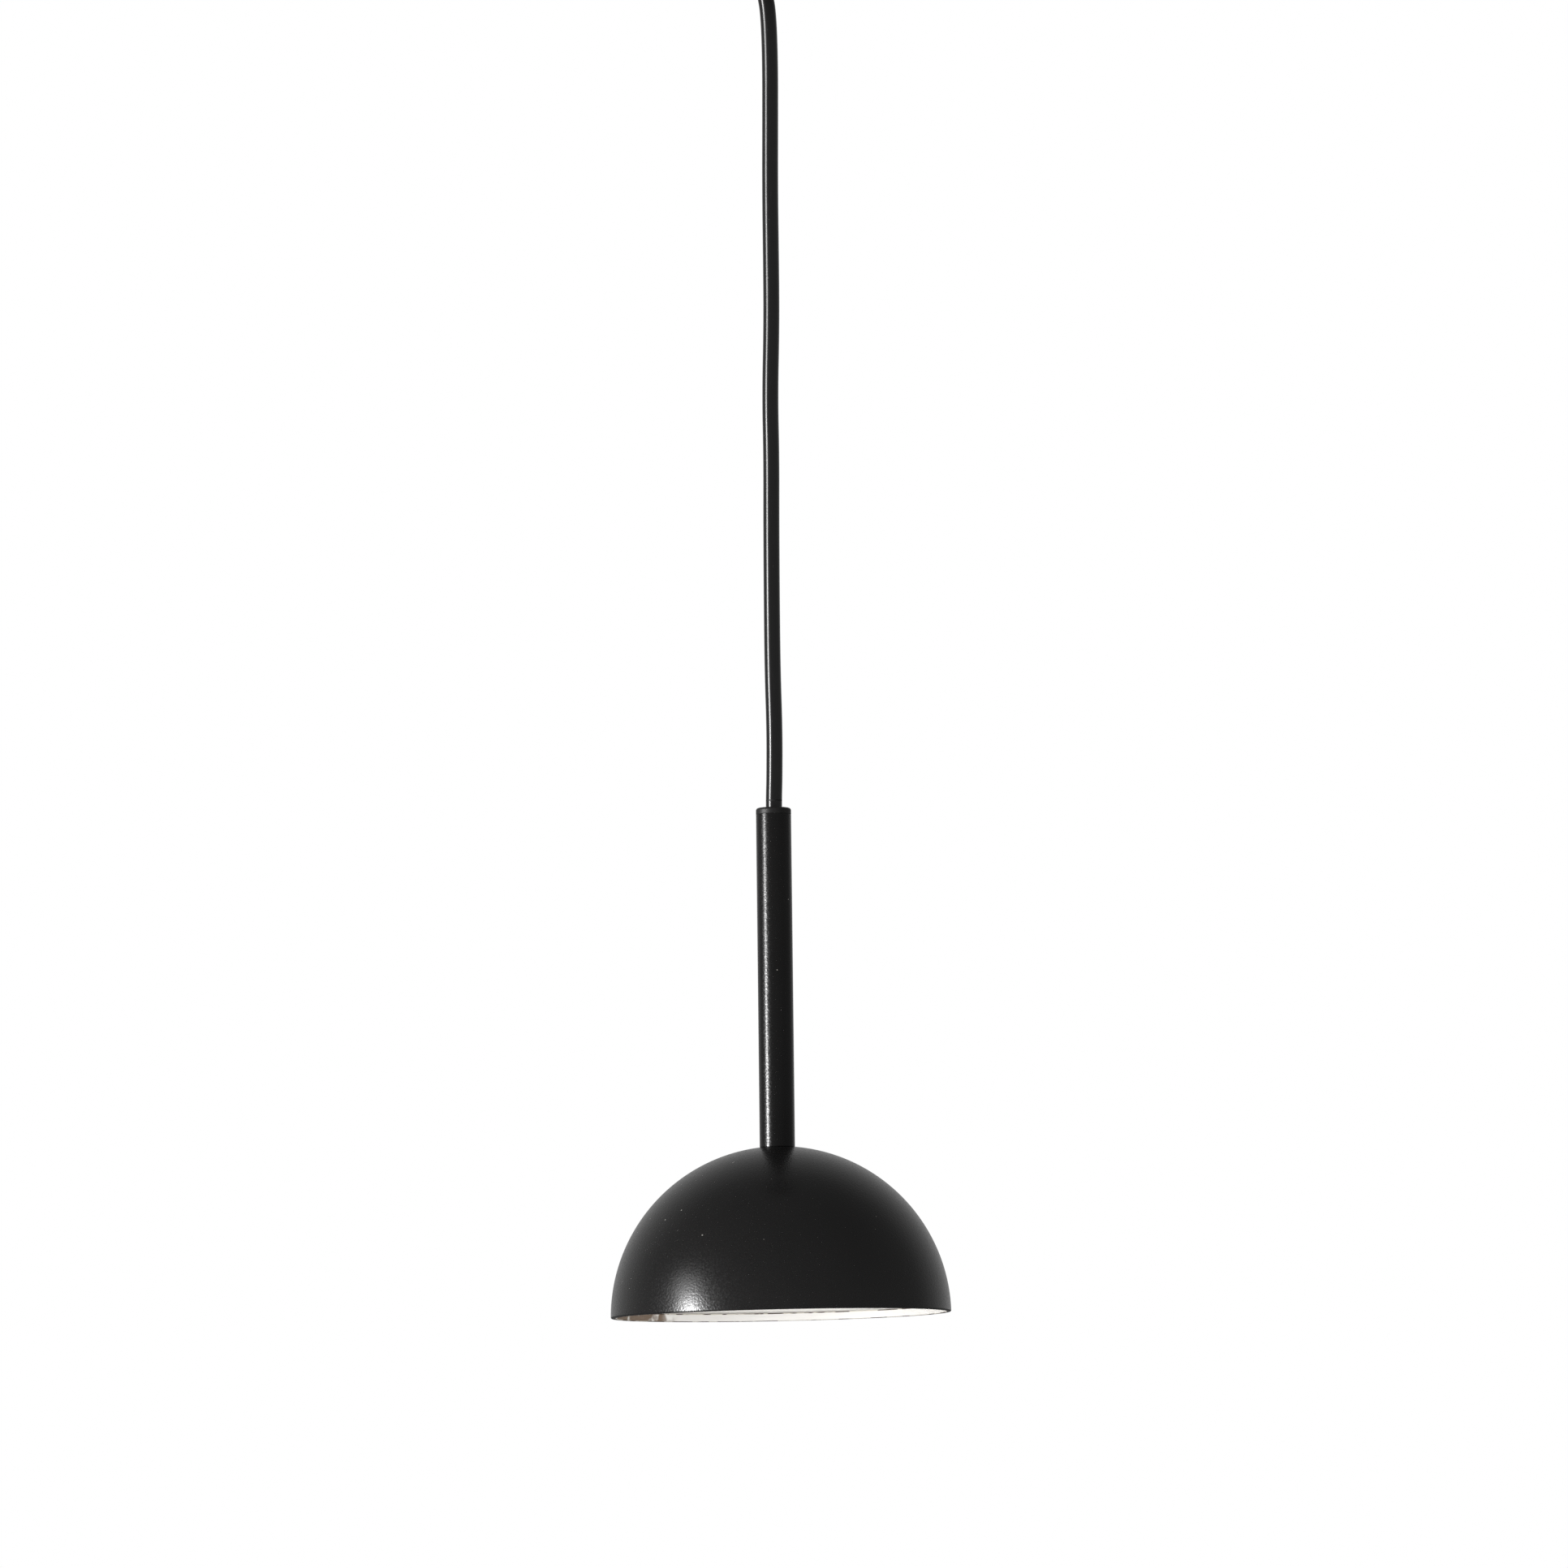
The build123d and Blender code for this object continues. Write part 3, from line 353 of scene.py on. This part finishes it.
# sheared edge of the sheet metal, browned by the baking, with white paint over parts of it
bare_edge, tree, shader, place = start_finish("bare_sheet_edge", Metallic=0.3)
shear = add_node(tree, "ShaderNodeTexNoise", {"Vector": place, "Scale": repeats(2.0), "Detail": 3.0})
brown = add_node(tree, "ShaderNodeMix", {
    mix_share: shear.outputs["Fac"], colour_a: colour("#3a2f28"), colour_b: colour("#6d5c4e")},
    data_type="RGBA")
cover = add_node(tree, "ShaderNodeTexNoise", {"Vector": place, "Scale": repeats(7.0), "Detail": 2.0})
painted = add_node(tree, "ShaderNodeMapRange", {
    "Value": cover.outputs["Fac"], "From Min": 0.47, "From Max": 0.53})
patchy = add_node(tree, "ShaderNodeMix", {
    mix_share: painted.outputs["Result"], colour_a: brown.outputs[mixed_colour],
    colour_b: colour("#e2dcd2")}, data_type="RGBA")
tree.links.new(patchy.outputs[mixed_colour], shader.inputs["Base Color"])
rough = add_node(tree, "ShaderNodeMapRange", {
    "Value": shear.outputs["Fac"], "To Min": 0.4, "To Max": 0.7})
tree.links.new(rough.outputs["Result"], shader.inputs["Roughness"])
print("inside:", white_coat.name, "and", bare_edge.name)

# %% [markdown]
# ## A tree that turns a profile
# The real shade is spun: a disc of sheet metal turns on a lathe and is pressed against a form. Its shape
# is one profile taken round an axis. The Screw modifier can do that, but it rounds no corners. This
# Geometry Nodes tree rounds each corner of a profile curve by the radius stored on its point, lays a
# grid over it, and wraps the grid round the vertical axis. A face that looks back at the dome's centre
# takes the inside finish. One that is only half turned in, and a thin ring, take the edge's.

# %% Turning tree
turning = bpy.data.node_groups.new("turned_shell", "GeometryNodeTree")
for name, kind in (("Profile", "NodeSocketGeometry"), ("Segments", "NodeSocketInt"),
                   ("Corner Steps", "NodeSocketInt"), ("Dome Centre", "NodeSocketFloat"),
                   ("Inside Depth", "NodeSocketFloat"), ("Edge Depth", "NodeSocketFloat"),
                   ("Edge Low", "NodeSocketFloat"), ("Edge High", "NodeSocketFloat"),
                   ("Outside", "NodeSocketMaterial"), ("Inside", "NodeSocketMaterial"),
                   ("Edge", "NodeSocketMaterial")):
    turning.interface.new_socket(name, in_out="INPUT", socket_type=kind)
turning.interface.new_socket("Shell", in_out="OUTPUT", socket_type="NodeSocketGeometry")
given = add_node(turning, "NodeGroupInput").outputs

corner = add_node(turning, "GeometryNodeInputRadius")
rounded = add_node(turning, "GeometryNodeFilletCurve", {
    "Curve": given["Profile"], "Count": given["Corner Steps"], "Radius": corner.outputs[0],
    "Limit Radius": True}, mode="POLY")
size = add_node(turning, "GeometryNodeAttributeDomainSize", {0: rounded.outputs[0]}, component="CURVE")
columns = add_node(turning, "ShaderNodeMath", {0: given["Segments"], 1: 1.0}, operation="ADD")
rows = add_node(turning, "ShaderNodeMath", {0: size.outputs["Point Count"], 1: 1.0}, operation="ADD")
grid = add_node(turning, "GeometryNodeMeshGrid", {
    "Vertices X": columns.outputs[0], "Vertices Y": rows.outputs[0]})

number = add_node(turning, "GeometryNodeInputIndex")
column_part = add_node(turning, "ShaderNodeMath", {
    0: number.outputs[0], 1: rows.outputs[0]}, operation="DIVIDE")
column = add_node(turning, "ShaderNodeMath", {0: column_part.outputs[0]}, operation="FLOOR")
row = add_node(turning, "ShaderNodeMath", {0: number.outputs[0], 1: rows.outputs[0]}, operation="MODULO")
closed_row = add_node(turning, "ShaderNodeMath", {
    0: row.outputs[0], 1: size.outputs["Point Count"]}, operation="MODULO")
profile_place = add_node(turning, "GeometryNodeInputPosition")
sampled = add_node(turning, "GeometryNodeSampleIndex", {
    0: rounded.outputs[0], "Value": profile_place.outputs[0], "Index": closed_row.outputs[0]},
    data_type="FLOAT_VECTOR", domain="POINT")
share = add_node(turning, "ShaderNodeMath", {
    0: column.outputs[0], 1: given["Segments"]}, operation="DIVIDE")
angle = add_node(turning, "ShaderNodeMath", {0: share.outputs[0], 1: math.tau}, operation="MULTIPLY")
turned_place = add_node(turning, "ShaderNodeVectorRotate", {
    "Vector": sampled.outputs[0], "Angle": angle.outputs[0]}, rotation_type="Z_AXIS")
wrapped = add_node(turning, "GeometryNodeSetPosition", {
    0: grid.outputs[0], "Position": turned_place.outputs[0]})
weld_distance = 1e-6
welded = add_node(turning, "GeometryNodeMergeByDistance", {
    0: wrapped.outputs[0], "Distance": weld_distance})

place_now = add_node(turning, "GeometryNodeInputPosition")
dome_centre = add_node(turning, "ShaderNodeCombineXYZ", {"Z": given["Dome Centre"]})
from_centre = add_node(turning, "ShaderNodeVectorMath", {
    0: place_now.outputs[0], 1: dome_centre.outputs[0]}, operation="SUBTRACT")
facing = add_node(turning, "GeometryNodeInputNormal")
outwardness = add_node(turning, "ShaderNodeVectorMath", {
    0: facing.outputs[0], 1: from_centre.outputs[0]}, operation="DOT_PRODUCT")
inside_depth = add_node(turning, "ShaderNodeMath", {
    0: given["Inside Depth"], 1: -1.0}, operation="MULTIPLY")
is_inside = add_node(turning, "FunctionNodeCompare", {
    0: outwardness.outputs["Value"], 1: inside_depth.outputs[0]}, data_type="FLOAT", operation="LESS_THAN")
edge_depth = add_node(turning, "ShaderNodeMath", {0: given["Edge Depth"], 1: -1.0}, operation="MULTIPLY")
is_turned_in = add_node(turning, "FunctionNodeCompare", {
    0: outwardness.outputs["Value"], 1: edge_depth.outputs[0]}, data_type="FLOAT", operation="LESS_THAN")
height = add_node(turning, "ShaderNodeSeparateXYZ", {0: place_now.outputs[0]})
over_low = add_node(turning, "FunctionNodeCompare", {
    0: height.outputs["Z"], 1: given["Edge Low"]}, data_type="FLOAT", operation="GREATER_THAN")
under_high = add_node(turning, "FunctionNodeCompare", {
    0: height.outputs["Z"], 1: given["Edge High"]}, data_type="FLOAT", operation="LESS_THAN")
in_band = add_node(turning, "FunctionNodeBooleanMath", {
    0: over_low.outputs[0], 1: under_high.outputs[0]}, operation="AND")
is_edge = add_node(turning, "FunctionNodeBooleanMath", {
    0: in_band.outputs[0], 1: is_inside.outputs[0]}, operation="AND")

smooth = add_node(turning, "GeometryNodeSetShadeSmooth", {0: welded.outputs[0]})
real = add_node(turning, "GeometryNodeRealizeInstances", {0: smooth.outputs[0]})
outside = add_node(turning, "GeometryNodeSetMaterial", {0: real.outputs[0], "Material": given["Outside"]})
turned_in = add_node(turning, "GeometryNodeSetMaterial", {
    0: outside.outputs[0], "Selection": is_turned_in.outputs[0], "Material": given["Edge"]})
inside = add_node(turning, "GeometryNodeSetMaterial", {
    0: turned_in.outputs[0], "Selection": is_inside.outputs[0], "Material": given["Inside"]})
edge = add_node(turning, "GeometryNodeSetMaterial", {
    0: inside.outputs[0], "Selection": is_edge.outputs[0], "Material": given["Edge"]})
add_node(turning, "NodeGroupOutput", {"Shell": edge.outputs[0]})
print("turning tree:", len(turning.nodes), "nodes")


# %% Run the tree on a profile
def turn(name, profile, sizes):
    """Turns a closed profile, rows of (radius, height, corner rounding) in mm, into a plain mesh."""
    data = bpy.data.curves.new(name + "_profile", "CURVE")
    data.dimensions = "3D"
    spline = data.splines.new("POLY")
    spline.points.add(len(profile) - 1)
    for point, (radius, z, rounding) in zip(spline.points, profile):
        point.co = (radius / 1000, 0.0, z / 1000, 1.0)
        point.radius = rounding / 1000
    spline.use_cyclic_u = True
    lathe = bpy.data.objects.new(name + "_profile", data)
    bpy.context.scene.collection.objects.link(lathe)
    modifier = lathe.modifiers.new("turning", "NODES")
    modifier.node_group = turning
    for item in turning.interface.items_tree:
        if item.in_out == "INPUT" and item.name in sizes:
            modifier[item.identifier] = sizes[item.name]
    evaluated = lathe.evaluated_get(bpy.context.evaluated_depsgraph_get())
    mesh = bpy.data.meshes.new_from_object(evaluated)
    mesh.name = name
    lathe.modifiers.remove(modifier)
    bpy.data.objects.remove(lathe)
    # large faces decide the shading of their corners, so flat walls stay flat beside small roundings
    leaning = [Vector() for vertex in mesh.vertices]
    for face in mesh.polygons:
        for vertex in face.vertices:
            leaning[vertex] += face.normal * face.area
    mesh.normals_split_custom_set_from_vertices([normal.normalized() for normal in leaning])
    piece = bpy.data.objects.new(name, mesh)
    bpy.context.scene.collection.objects.link(piece)
    volume = sum(mesh.vertices[face.vertices[0]].co.dot(face.normal) * face.area
                 for face in mesh.polygons) / 3
    print(name, "has", len(mesh.polygons), "faces and", round(volume * 1e6, 2), "ml of metal")
    return piece


# %% [markdown]
# ## The shade
# Its outside is a half-sphere of 62.5 mm radius in 1 mm sheet. A flat seat is pressed at the top for the
# stem, and the sheet is folded in at the rim to a hem 3 mm high, so that the edge is round and stiff.
# The profile is listed from the rim up the outside, over the seat and down the inside.

# %% Shade
# in millimetres, the rim's rise being its height over the dome's centre
shade_radius, sheet_wall, hem_fold, hem_height = 62.5, 1.0, 1.0, 3.0
rim_z, rim_rise = -541.107, 0.5
seat_radius, seat_hole_radius = 7.0, 5.2
rim_rounding, seat_rounding, cut_rounding = 0.5, 0.6, 0.15
bare_strip, bare_overlap = 0.35, 0.05
# in metres, from the dome's centre to the plane of a face that looks back at it: beyond the first the
# face is inside, beyond the second it is half turned in
inside_depth_m, half_turned_depth_m = 0.045, 0.004
arc_steps, corner_steps, segments = 56, 5, 192

dome_centre_z = rim_z - rim_rise
hem_top_z = rim_z + hem_height


def arc(radius, low_angle, high_angle):
    """Points of (radius, height, rounding) up an arc about the dome's centre."""
    steps = [low_angle + (high_angle - low_angle) * i / arc_steps for i in range(arc_steps + 1)]
    return [(radius * math.cos(a), dome_centre_z + radius * math.sin(a), 0.0) for a in steps]


inner_radius = shade_radius - sheet_wall
hem_radius = inner_radius - hem_fold
seat_angle = math.acos(seat_radius / shade_radius)
seat_z = dome_centre_z + shade_radius * math.sin(seat_angle)
inner_seat_angle = math.asin((seat_z - sheet_wall - dome_centre_z) / inner_radius)
outer_arc = arc(shade_radius, math.asin((rim_z - dome_centre_z) / shade_radius), seat_angle)
inner_arc = arc(inner_radius, math.asin((hem_top_z - dome_centre_z) / inner_radius), inner_seat_angle)
outer_arc[0] = (*outer_arc[0][:2], rim_rounding)
outer_arc[-1] = (*outer_arc[-1][:2], seat_rounding)
seat_hole = [(seat_hole_radius, seat_z, cut_rounding),
             (seat_hole_radius, seat_z - sheet_wall, cut_rounding)]
hem = [(hem_radius, hem_top_z, cut_rounding), (hem_radius, hem_top_z - bare_strip, 0.0),
       (hem_radius, rim_z, rim_rounding)]
shade_profile = outer_arc + seat_hole + inner_arc[::-1] + hem
shade = turn("spun_shade", shade_profile, {
    "Segments": segments, "Corner Steps": corner_steps, "Dome Centre": dome_centre_z / 1000,
    "Inside Depth": inside_depth_m, "Edge Depth": half_turned_depth_m,
    "Edge Low": (hem_top_z - bare_strip) / 1000, "Edge High": (hem_top_z + bare_overlap) / 1000,
    "Outside": coats["satin_powder_coat"], "Inside": white_coat, "Edge": bare_edge})
# the photographed shade sits a touch askew on its stem, so the mesh leans about its seat
lean_angle = math.radians(-0.6)
seat = Vector((0.0, 0.0, seat_z / 1000))
shade.data.transform(
    Matrix.Translation(seat) @ Matrix.Rotation(lean_angle, 4, "Y") @ Matrix.Translation(-seat))
print("the rim's left end hangs", round(shade_radius * math.sin(-lean_angle), 2), "mm lower")
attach(shade, "lamp")
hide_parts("shade")

# %% [markdown]
# ## Moulded black nylon
# The stem's plug, the cord grip and its clamping screw are moulded nylon. It is a little browner and
# duller than the coat, with a fine spark-eroded texture from the mould.

# %% Moulded nylon
# glass-filled nylon from a textured mould: dull, finely grained
nylon, tree, shader, place = start_finish("moulded_nylon", IOR=1.53)
mould_grain = add_node(tree, "ShaderNodeTexNoise", {
    "Vector": place, "Scale": repeats(0.7), "Detail": 3.0, "Roughness": 0.65})
tint = add_node(tree, "ShaderNodeMix", {
    mix_share: mould_grain.outputs["Fac"], colour_a: colour("#161616"), colour_b: colour("#201f1f")},
    data_type="RGBA")
tree.links.new(tint.outputs[mixed_colour], shader.inputs["Base Color"])
dull = add_node(tree, "ShaderNodeMapRange", {
    "Value": mould_grain.outputs["Fac"], "From Min": noise_low, "From Max": noise_high,
    "To Min": 0.42, "To Max": 0.52})
tree.links.new(dull.outputs["Result"], shader.inputs["Roughness"])
relief = add_node(tree, "ShaderNodeBump", {
    "Height": mould_grain.outputs["Fac"], "Strength": 0.5, "Distance": 0.00004})
tree.links.new(relief.outputs["Normal"], shader.inputs["Normal"])
print("moulded:", nylon.name)

# %% [markdown]
# ## Metals, ceramic and the other plastics
# The hardware inside the cup and the shade is hidden in the photograph. Each kind still gets the finish
# of its real material, from one table: two colours to vary between, the gloss, the metal share, the grain
# size and how deep the grain is. One loop builds them, because they differ in numbers only.

# %% Table of finishes
# name: two colours, roughness range, metallic, grain in mm, how much finer along z, relief in mm
finish_table = {
    # rolled steel with a clear-passivated zinc plate: pale grey, faint bluish and yellowish clouds
    "bright_zinc_plate": ("#b9bcc0", "#cfcdc6", 0.26, 0.40, 1.0, 3.0, 1.0, 0.010),
    # turned free-cutting brass: warm yellow, fine turning marks
    "turned_brass": ("#c8a24f", "#dcb866", 0.22, 0.36, 1.0, 0.8, 3.0, 0.010),
    # rolled phosphor bronze strip: reddish, smooth
    "rolled_bronze": ("#b07d4f", "#c8966a", 0.25, 0.36, 1.0, 2.0, 0.3, 0.005),
    # nickel-plated pins: bright
    "nickel_plate": ("#c9c5bc", "#d8d4cb", 0.16, 0.26, 1.0, 1.5, 1.0, 0.004),
    # blackened steel screws: dark with a brown cast
    "blackened_steel": ("#1b1a1a", "#2a2827", 0.34, 0.48, 0.7, 1.2, 1.0, 0.012),
    # vulcanised fibre: dull brick red with paper fibres
    "vulcanised_fibre": ("#6b2f26", "#7d3d31", 0.60, 0.75, 0.0, 1.0, 1.0, 0.030),
    # unglazed steatite: chalky white with a fine tooth
    "unglazed_steatite": ("#dcd8cd", "#eae7de", 0.55, 0.68, 0.0, 1.1, 1.0, 0.025),
    # moulded white polyamide: slightly yellow
    "white_polyamide": ("#e6e3da", "#efede6", 0.40, 0.50, 0.0, 1.4, 1.0, 0.015),
    # glass-fibre board with a white solder mask
    "white_circuit_board": ("#d9dbd6", "#e9eae6", 0.30, 0.42, 0.0, 1.2, 1.0, 0.010),
}
finishes = {**coats, "moulded_nylon": nylon}
for name, (dark, light, low, high, metallic, grain_mm, finer_along_z, depth_mm) in finish_table.items():
    finish, tree, shader, place = start_finish(name, Metallic=metallic)
    drawn = add_node(tree, "ShaderNodeMapping", {"Vector": place, "Scale": (1.0, 1.0, finer_along_z)})
    grain = add_node(tree, "ShaderNodeTexNoise", {
        "Vector": drawn.outputs["Vector"], "Scale": repeats(grain_mm), "Detail": 3.0})
    tint = add_node(tree, "ShaderNodeMix", {
        mix_share: grain.outputs["Fac"], colour_a: colour(dark), colour_b: colour(light)},
        data_type="RGBA")
    tree.links.new(tint.outputs[mixed_colour], shader.inputs["Base Color"])
    gloss = add_node(tree, "ShaderNodeMapRange", {
        "Value": grain.outputs["Fac"], "From Min": noise_low, "From Max": noise_high,
        "To Min": low, "To Max": high})
    tree.links.new(gloss.outputs["Result"], shader.inputs["Roughness"])
    relief = add_node(tree, "ShaderNodeBump", {
        "Height": grain.outputs["Fac"], "Strength": 0.5, "Distance": depth_mm / 1000})
    tree.links.new(relief.outputs["Normal"], shader.inputs["Normal"])
    finishes[name] = finish
print("finishes from the table:", len(finish_table))

# %% [markdown]
# ## The bulb's opal cover
# The cover is a thin milky cap that spreads the light of the small board under it. Clear glass would
# show the board, and plain white would look like paint, so the shader lets a little light through and
# scatters some below its skin.

# %% Opal polycarbonate
# opal polycarbonate: milky, soft gloss, faint flow marks
opal, tree, shader, place = start_finish(
    "opal_polycarbonate", IOR=1.58, Transmission_Weight=0.12, Subsurface_Weight=0.25,
    Subsurface_Scale=0.002)
flow = add_node(tree, "ShaderNodeTexNoise", {"Vector": place, "Scale": repeats(6.0), "Detail": 2.0})
tint = add_node(tree, "ShaderNodeMix", {
    mix_share: flow.outputs["Fac"], colour_a: colour("#f0eee8"), colour_b: colour("#f8f7f3")},
    data_type="RGBA")
tree.links.new(tint.outputs[mixed_colour], shader.inputs["Base Color"])
gloss = add_node(tree, "ShaderNodeMapRange", {
    "Value": flow.outputs["Fac"], "To Min": 0.26, "To Max": 0.40})
tree.links.new(gloss.outputs["Result"], shader.inputs["Roughness"])
finishes["opal_polycarbonate"] = opal
print("cover:", opal.name)

# %% [markdown]
# ## Finishes on the solid parts
# A solid part whose shape is right keeps its mesh and only takes a finish. The table says which parts
# wear what.

# %% Dress the solid parts
worn = {
    "satin_powder_coat": ["canopy_cup"],
    "smooth_powder_coat": ["stem_tube"],
    "moulded_nylon": ["stem_cap", "cord_grip", "cord_grip_screw"],
    "blackened_steel": ["canopy_screws"],
    "bright_zinc_plate": ["ceiling_bracket", "cord_grip_nut", "nipple_nut", "lock_washer", "holder_strap",
                          "holder_screws", "block_screws", "terminal_screws", "cord_anchor"],
    "turned_brass": ["threaded_nipple", "terminal_sleeves", "earth_tag"],
    "rolled_bronze": ["contact_springs"],
    "vulcanised_fibre": ["shade_washer"],
    "unglazed_steatite": ["lampholder"],
    "white_polyamide": ["terminal_block", "bulb_base"],
    "opal_polycarbonate": ["bulb_cover"],
    "nickel_plate": ["bulb_pins"],
    "white_circuit_board": ["led_board"],
}
for name, parts in worn.items():
    for part in parts:
        part_materials = bpy.data.objects[part].data.materials
        for i in range(len(part_materials)):
            part_materials[i] = finishes[name]
print("dressed parts:", sum(len(parts) for parts in worn.values()))

# %% [markdown]
# ## The floor
# A pale floor under the hanging lamp catches its soft shadow and throws light up into the shade. A
# studio floor would sweep up into a white wall, so that no horizon cuts the picture. Here the same is
# done without a wall: seen by the camera, the floor turns to plain white with distance. To mirror rays
# it looks dimmer, as the far parts of a room do, so that the black coat stays deep.

# %% Floor
# in metres, and the sweep is the distance over which the floor turns white
floor_z, floor_half = -0.80, 20.0
sweep_start, sweep_end = 0.7, 2.0
# how much the camera's view of the floor is lifted, and how bright mirror rays find it
camera_lift, mirror_level = 0.55, 0.12
floor_mesh = bpy.data.meshes.new("pale_floor")
floor_mesh.from_pydata(
    [(x * floor_half, y * floor_half, floor_z) for x, y in ((-1, -1), (1, -1), (1, 1), (-1, 1))],
    [], [(0, 1, 2, 3)])
floor = bpy.data.objects.new("pale_floor", floor_mesh)
bpy.context.scene.collection.objects.link(floor)
# matt painted floor
floor_paint, tree, shader, place = start_finish("pale_floor_paint", Roughness=0.8)
shader.inputs["Base Color"].default_value = colour("#f0eeeb")
rays = add_node(tree, "ShaderNodeLightPath")
looked_at = add_node(tree, "ShaderNodeMath", {
    0: rays.outputs["Is Camera Ray"], 1: rays.outputs["Is Transmission Ray"]}, operation="MAXIMUM")
lift = add_node(tree, "ShaderNodeMath", {0: looked_at.outputs[0], 1: camera_lift}, operation="MULTIPLY")
glow = add_node(tree, "ShaderNodeEmission", {"Color": colour("#f7f5f2"), "Strength": lift.outputs[0]})
pale = add_node(tree, "ShaderNodeAddShader", {0: shader.outputs["BSDF"], 1: glow.outputs[0]})
flat_place = add_node(tree, "ShaderNodeVectorMath", {0: place, 1: (1.0, 1.0, 0.0)}, operation="MULTIPLY")
away = add_node(tree, "ShaderNodeVectorMath", {0: flat_place.outputs["Vector"]}, operation="LENGTH")
far = add_node(tree, "ShaderNodeMapRange", {
    "Value": away.outputs["Value"], "From Min": sweep_start, "From Max": sweep_end},
    interpolation_type="SMOOTHSTEP")
far_seen = add_node(tree, "ShaderNodeMath", {
    0: far.outputs["Result"], 1: looked_at.outputs[0]}, operation="MULTIPLY")
white = add_node(tree, "ShaderNodeEmission", {"Color": colour("#ffffff"), "Strength": 1.0})
sweep = add_node(tree, "ShaderNodeMixShader", {
    0: far_seen.outputs[0], 1: pale.outputs[0], 2: white.outputs[0]})
dim = add_node(tree, "ShaderNodeEmission", {"Color": colour("#ffffff"), "Strength": mirror_level})
seen = add_node(tree, "ShaderNodeMixShader", {
    0: rays.outputs["Is Glossy Ray"], 1: sweep.outputs[0], 2: dim.outputs[0]})
tree.links.new(seen.outputs[0], tree.nodes["Material Output"].inputs["Surface"])
floor_mesh.materials.append(floor_paint)
print("floor at", floor_z, "m")

# %% [markdown]
# ## Surroundings and lamps
# The picture has a white ground, but the black coat mirrors a grey room: brighter behind the lamp, where
# the coat's outline turns pale, and dark in front. The world shows white to the camera, that gradient to
# mirror rays, and an even level to all others. Three soft lamps stand over each other at the left. The
# low one makes the hot spot at the shade's rim, and the weaker ones above it carry the streak on up the
# stem and the cord. One lamp of that height would draw the hot spot out too far up the shade. A small
# card near the floor lights the white inside.

# %% World
front_level, back_level, even_level, white_level = 0.165, 0.50, 0.28, 1.0
# how nearly a direction points to the back where the gradient starts and where it ends
rise_from, rise_to = 0.28, 0.95
world = bpy.data.worlds.new("grey_room")
bpy.context.scene.world = world
world.use_nodes = True
world.cycles.sampling_method = "NONE"
tree = world.node_tree
background = tree.nodes["Background"]
rays = add_node(tree, "ShaderNodeLightPath")
direction = add_node(tree, "ShaderNodeTexCoord").outputs["Generated"]
to_the_back = (-0.05, 1.0, 0.0)
behind = add_node(tree, "ShaderNodeVectorMath", {0: direction, 1: to_the_back}, operation="DOT_PRODUCT")
room = add_node(tree, "ShaderNodeMapRange", {
    "Value": behind.outputs["Value"], "From Min": rise_from, "From Max": rise_to,
    "To Min": front_level, "To Max": back_level})
level = add_node(tree, "ShaderNodeMix", {
    mix_share: rays.outputs["Is Glossy Ray"], number_a: even_level, number_b: room.outputs["Result"]})
through = add_node(tree, "ShaderNodeMath", {
    0: rays.outputs["Is Camera Ray"], 1: rays.outputs["Is Transmission Ray"]}, operation="MAXIMUM")
strength = add_node(tree, "ShaderNodeMix", {
    mix_share: through.outputs[0], number_a: level.outputs[mixed_number], number_b: white_level})
tree.links.new(strength.outputs[mixed_number], background.inputs["Strength"])
background.inputs["Color"].default_value = (1.0, 1.0, 1.0, 1.0)
print("world:", world.name)


# %% Lamps
def hang_softbox(name, place, target, width, height, watts):
    """A soft rectangular lamp at a place, aimed at a target, unseen by the camera itself."""
    data = bpy.data.lights.new(name, "AREA")
    data.shape = "RECTANGLE"
    data.size, data.size_y = width, height
    data.energy = watts
    lamp = bpy.data.objects.new(name, data)
    lamp.location = place
    lamp.rotation_euler = (Vector(target) - Vector(place)).to_track_quat("-Z", "Y").to_euler()
    lamp.visible_camera = False
    bpy.context.scene.collection.objects.link(lamp)
    print(name, "shines with", watts, "W")
    return lamp


hang_softbox("low_softbox", (-2.32, -1.18, -0.60), (0.0, 0.0, -0.54),
             width=0.20, height=0.46, watts=60.0)
hang_softbox("middle_softbox", (-2.36, -1.10, -0.175), (0.0, 0.0, -0.40),
             width=0.36, height=0.25, watts=8.0)
hang_softbox("upper_softbox", (-2.41, -0.97, 0.225), (0.0, 0.0, -0.20),
             width=0.90, height=0.55, watts=4.8)
floor_card = hang_softbox("floor_card", (0.04, -0.22, -0.785), (0.0, 0.05, -0.52),
                          width=0.30, height=0.30, watts=1.4)
# the card only lifts the white inside, so the glossy outside does not mirror it
floor_card.visible_glossy = False
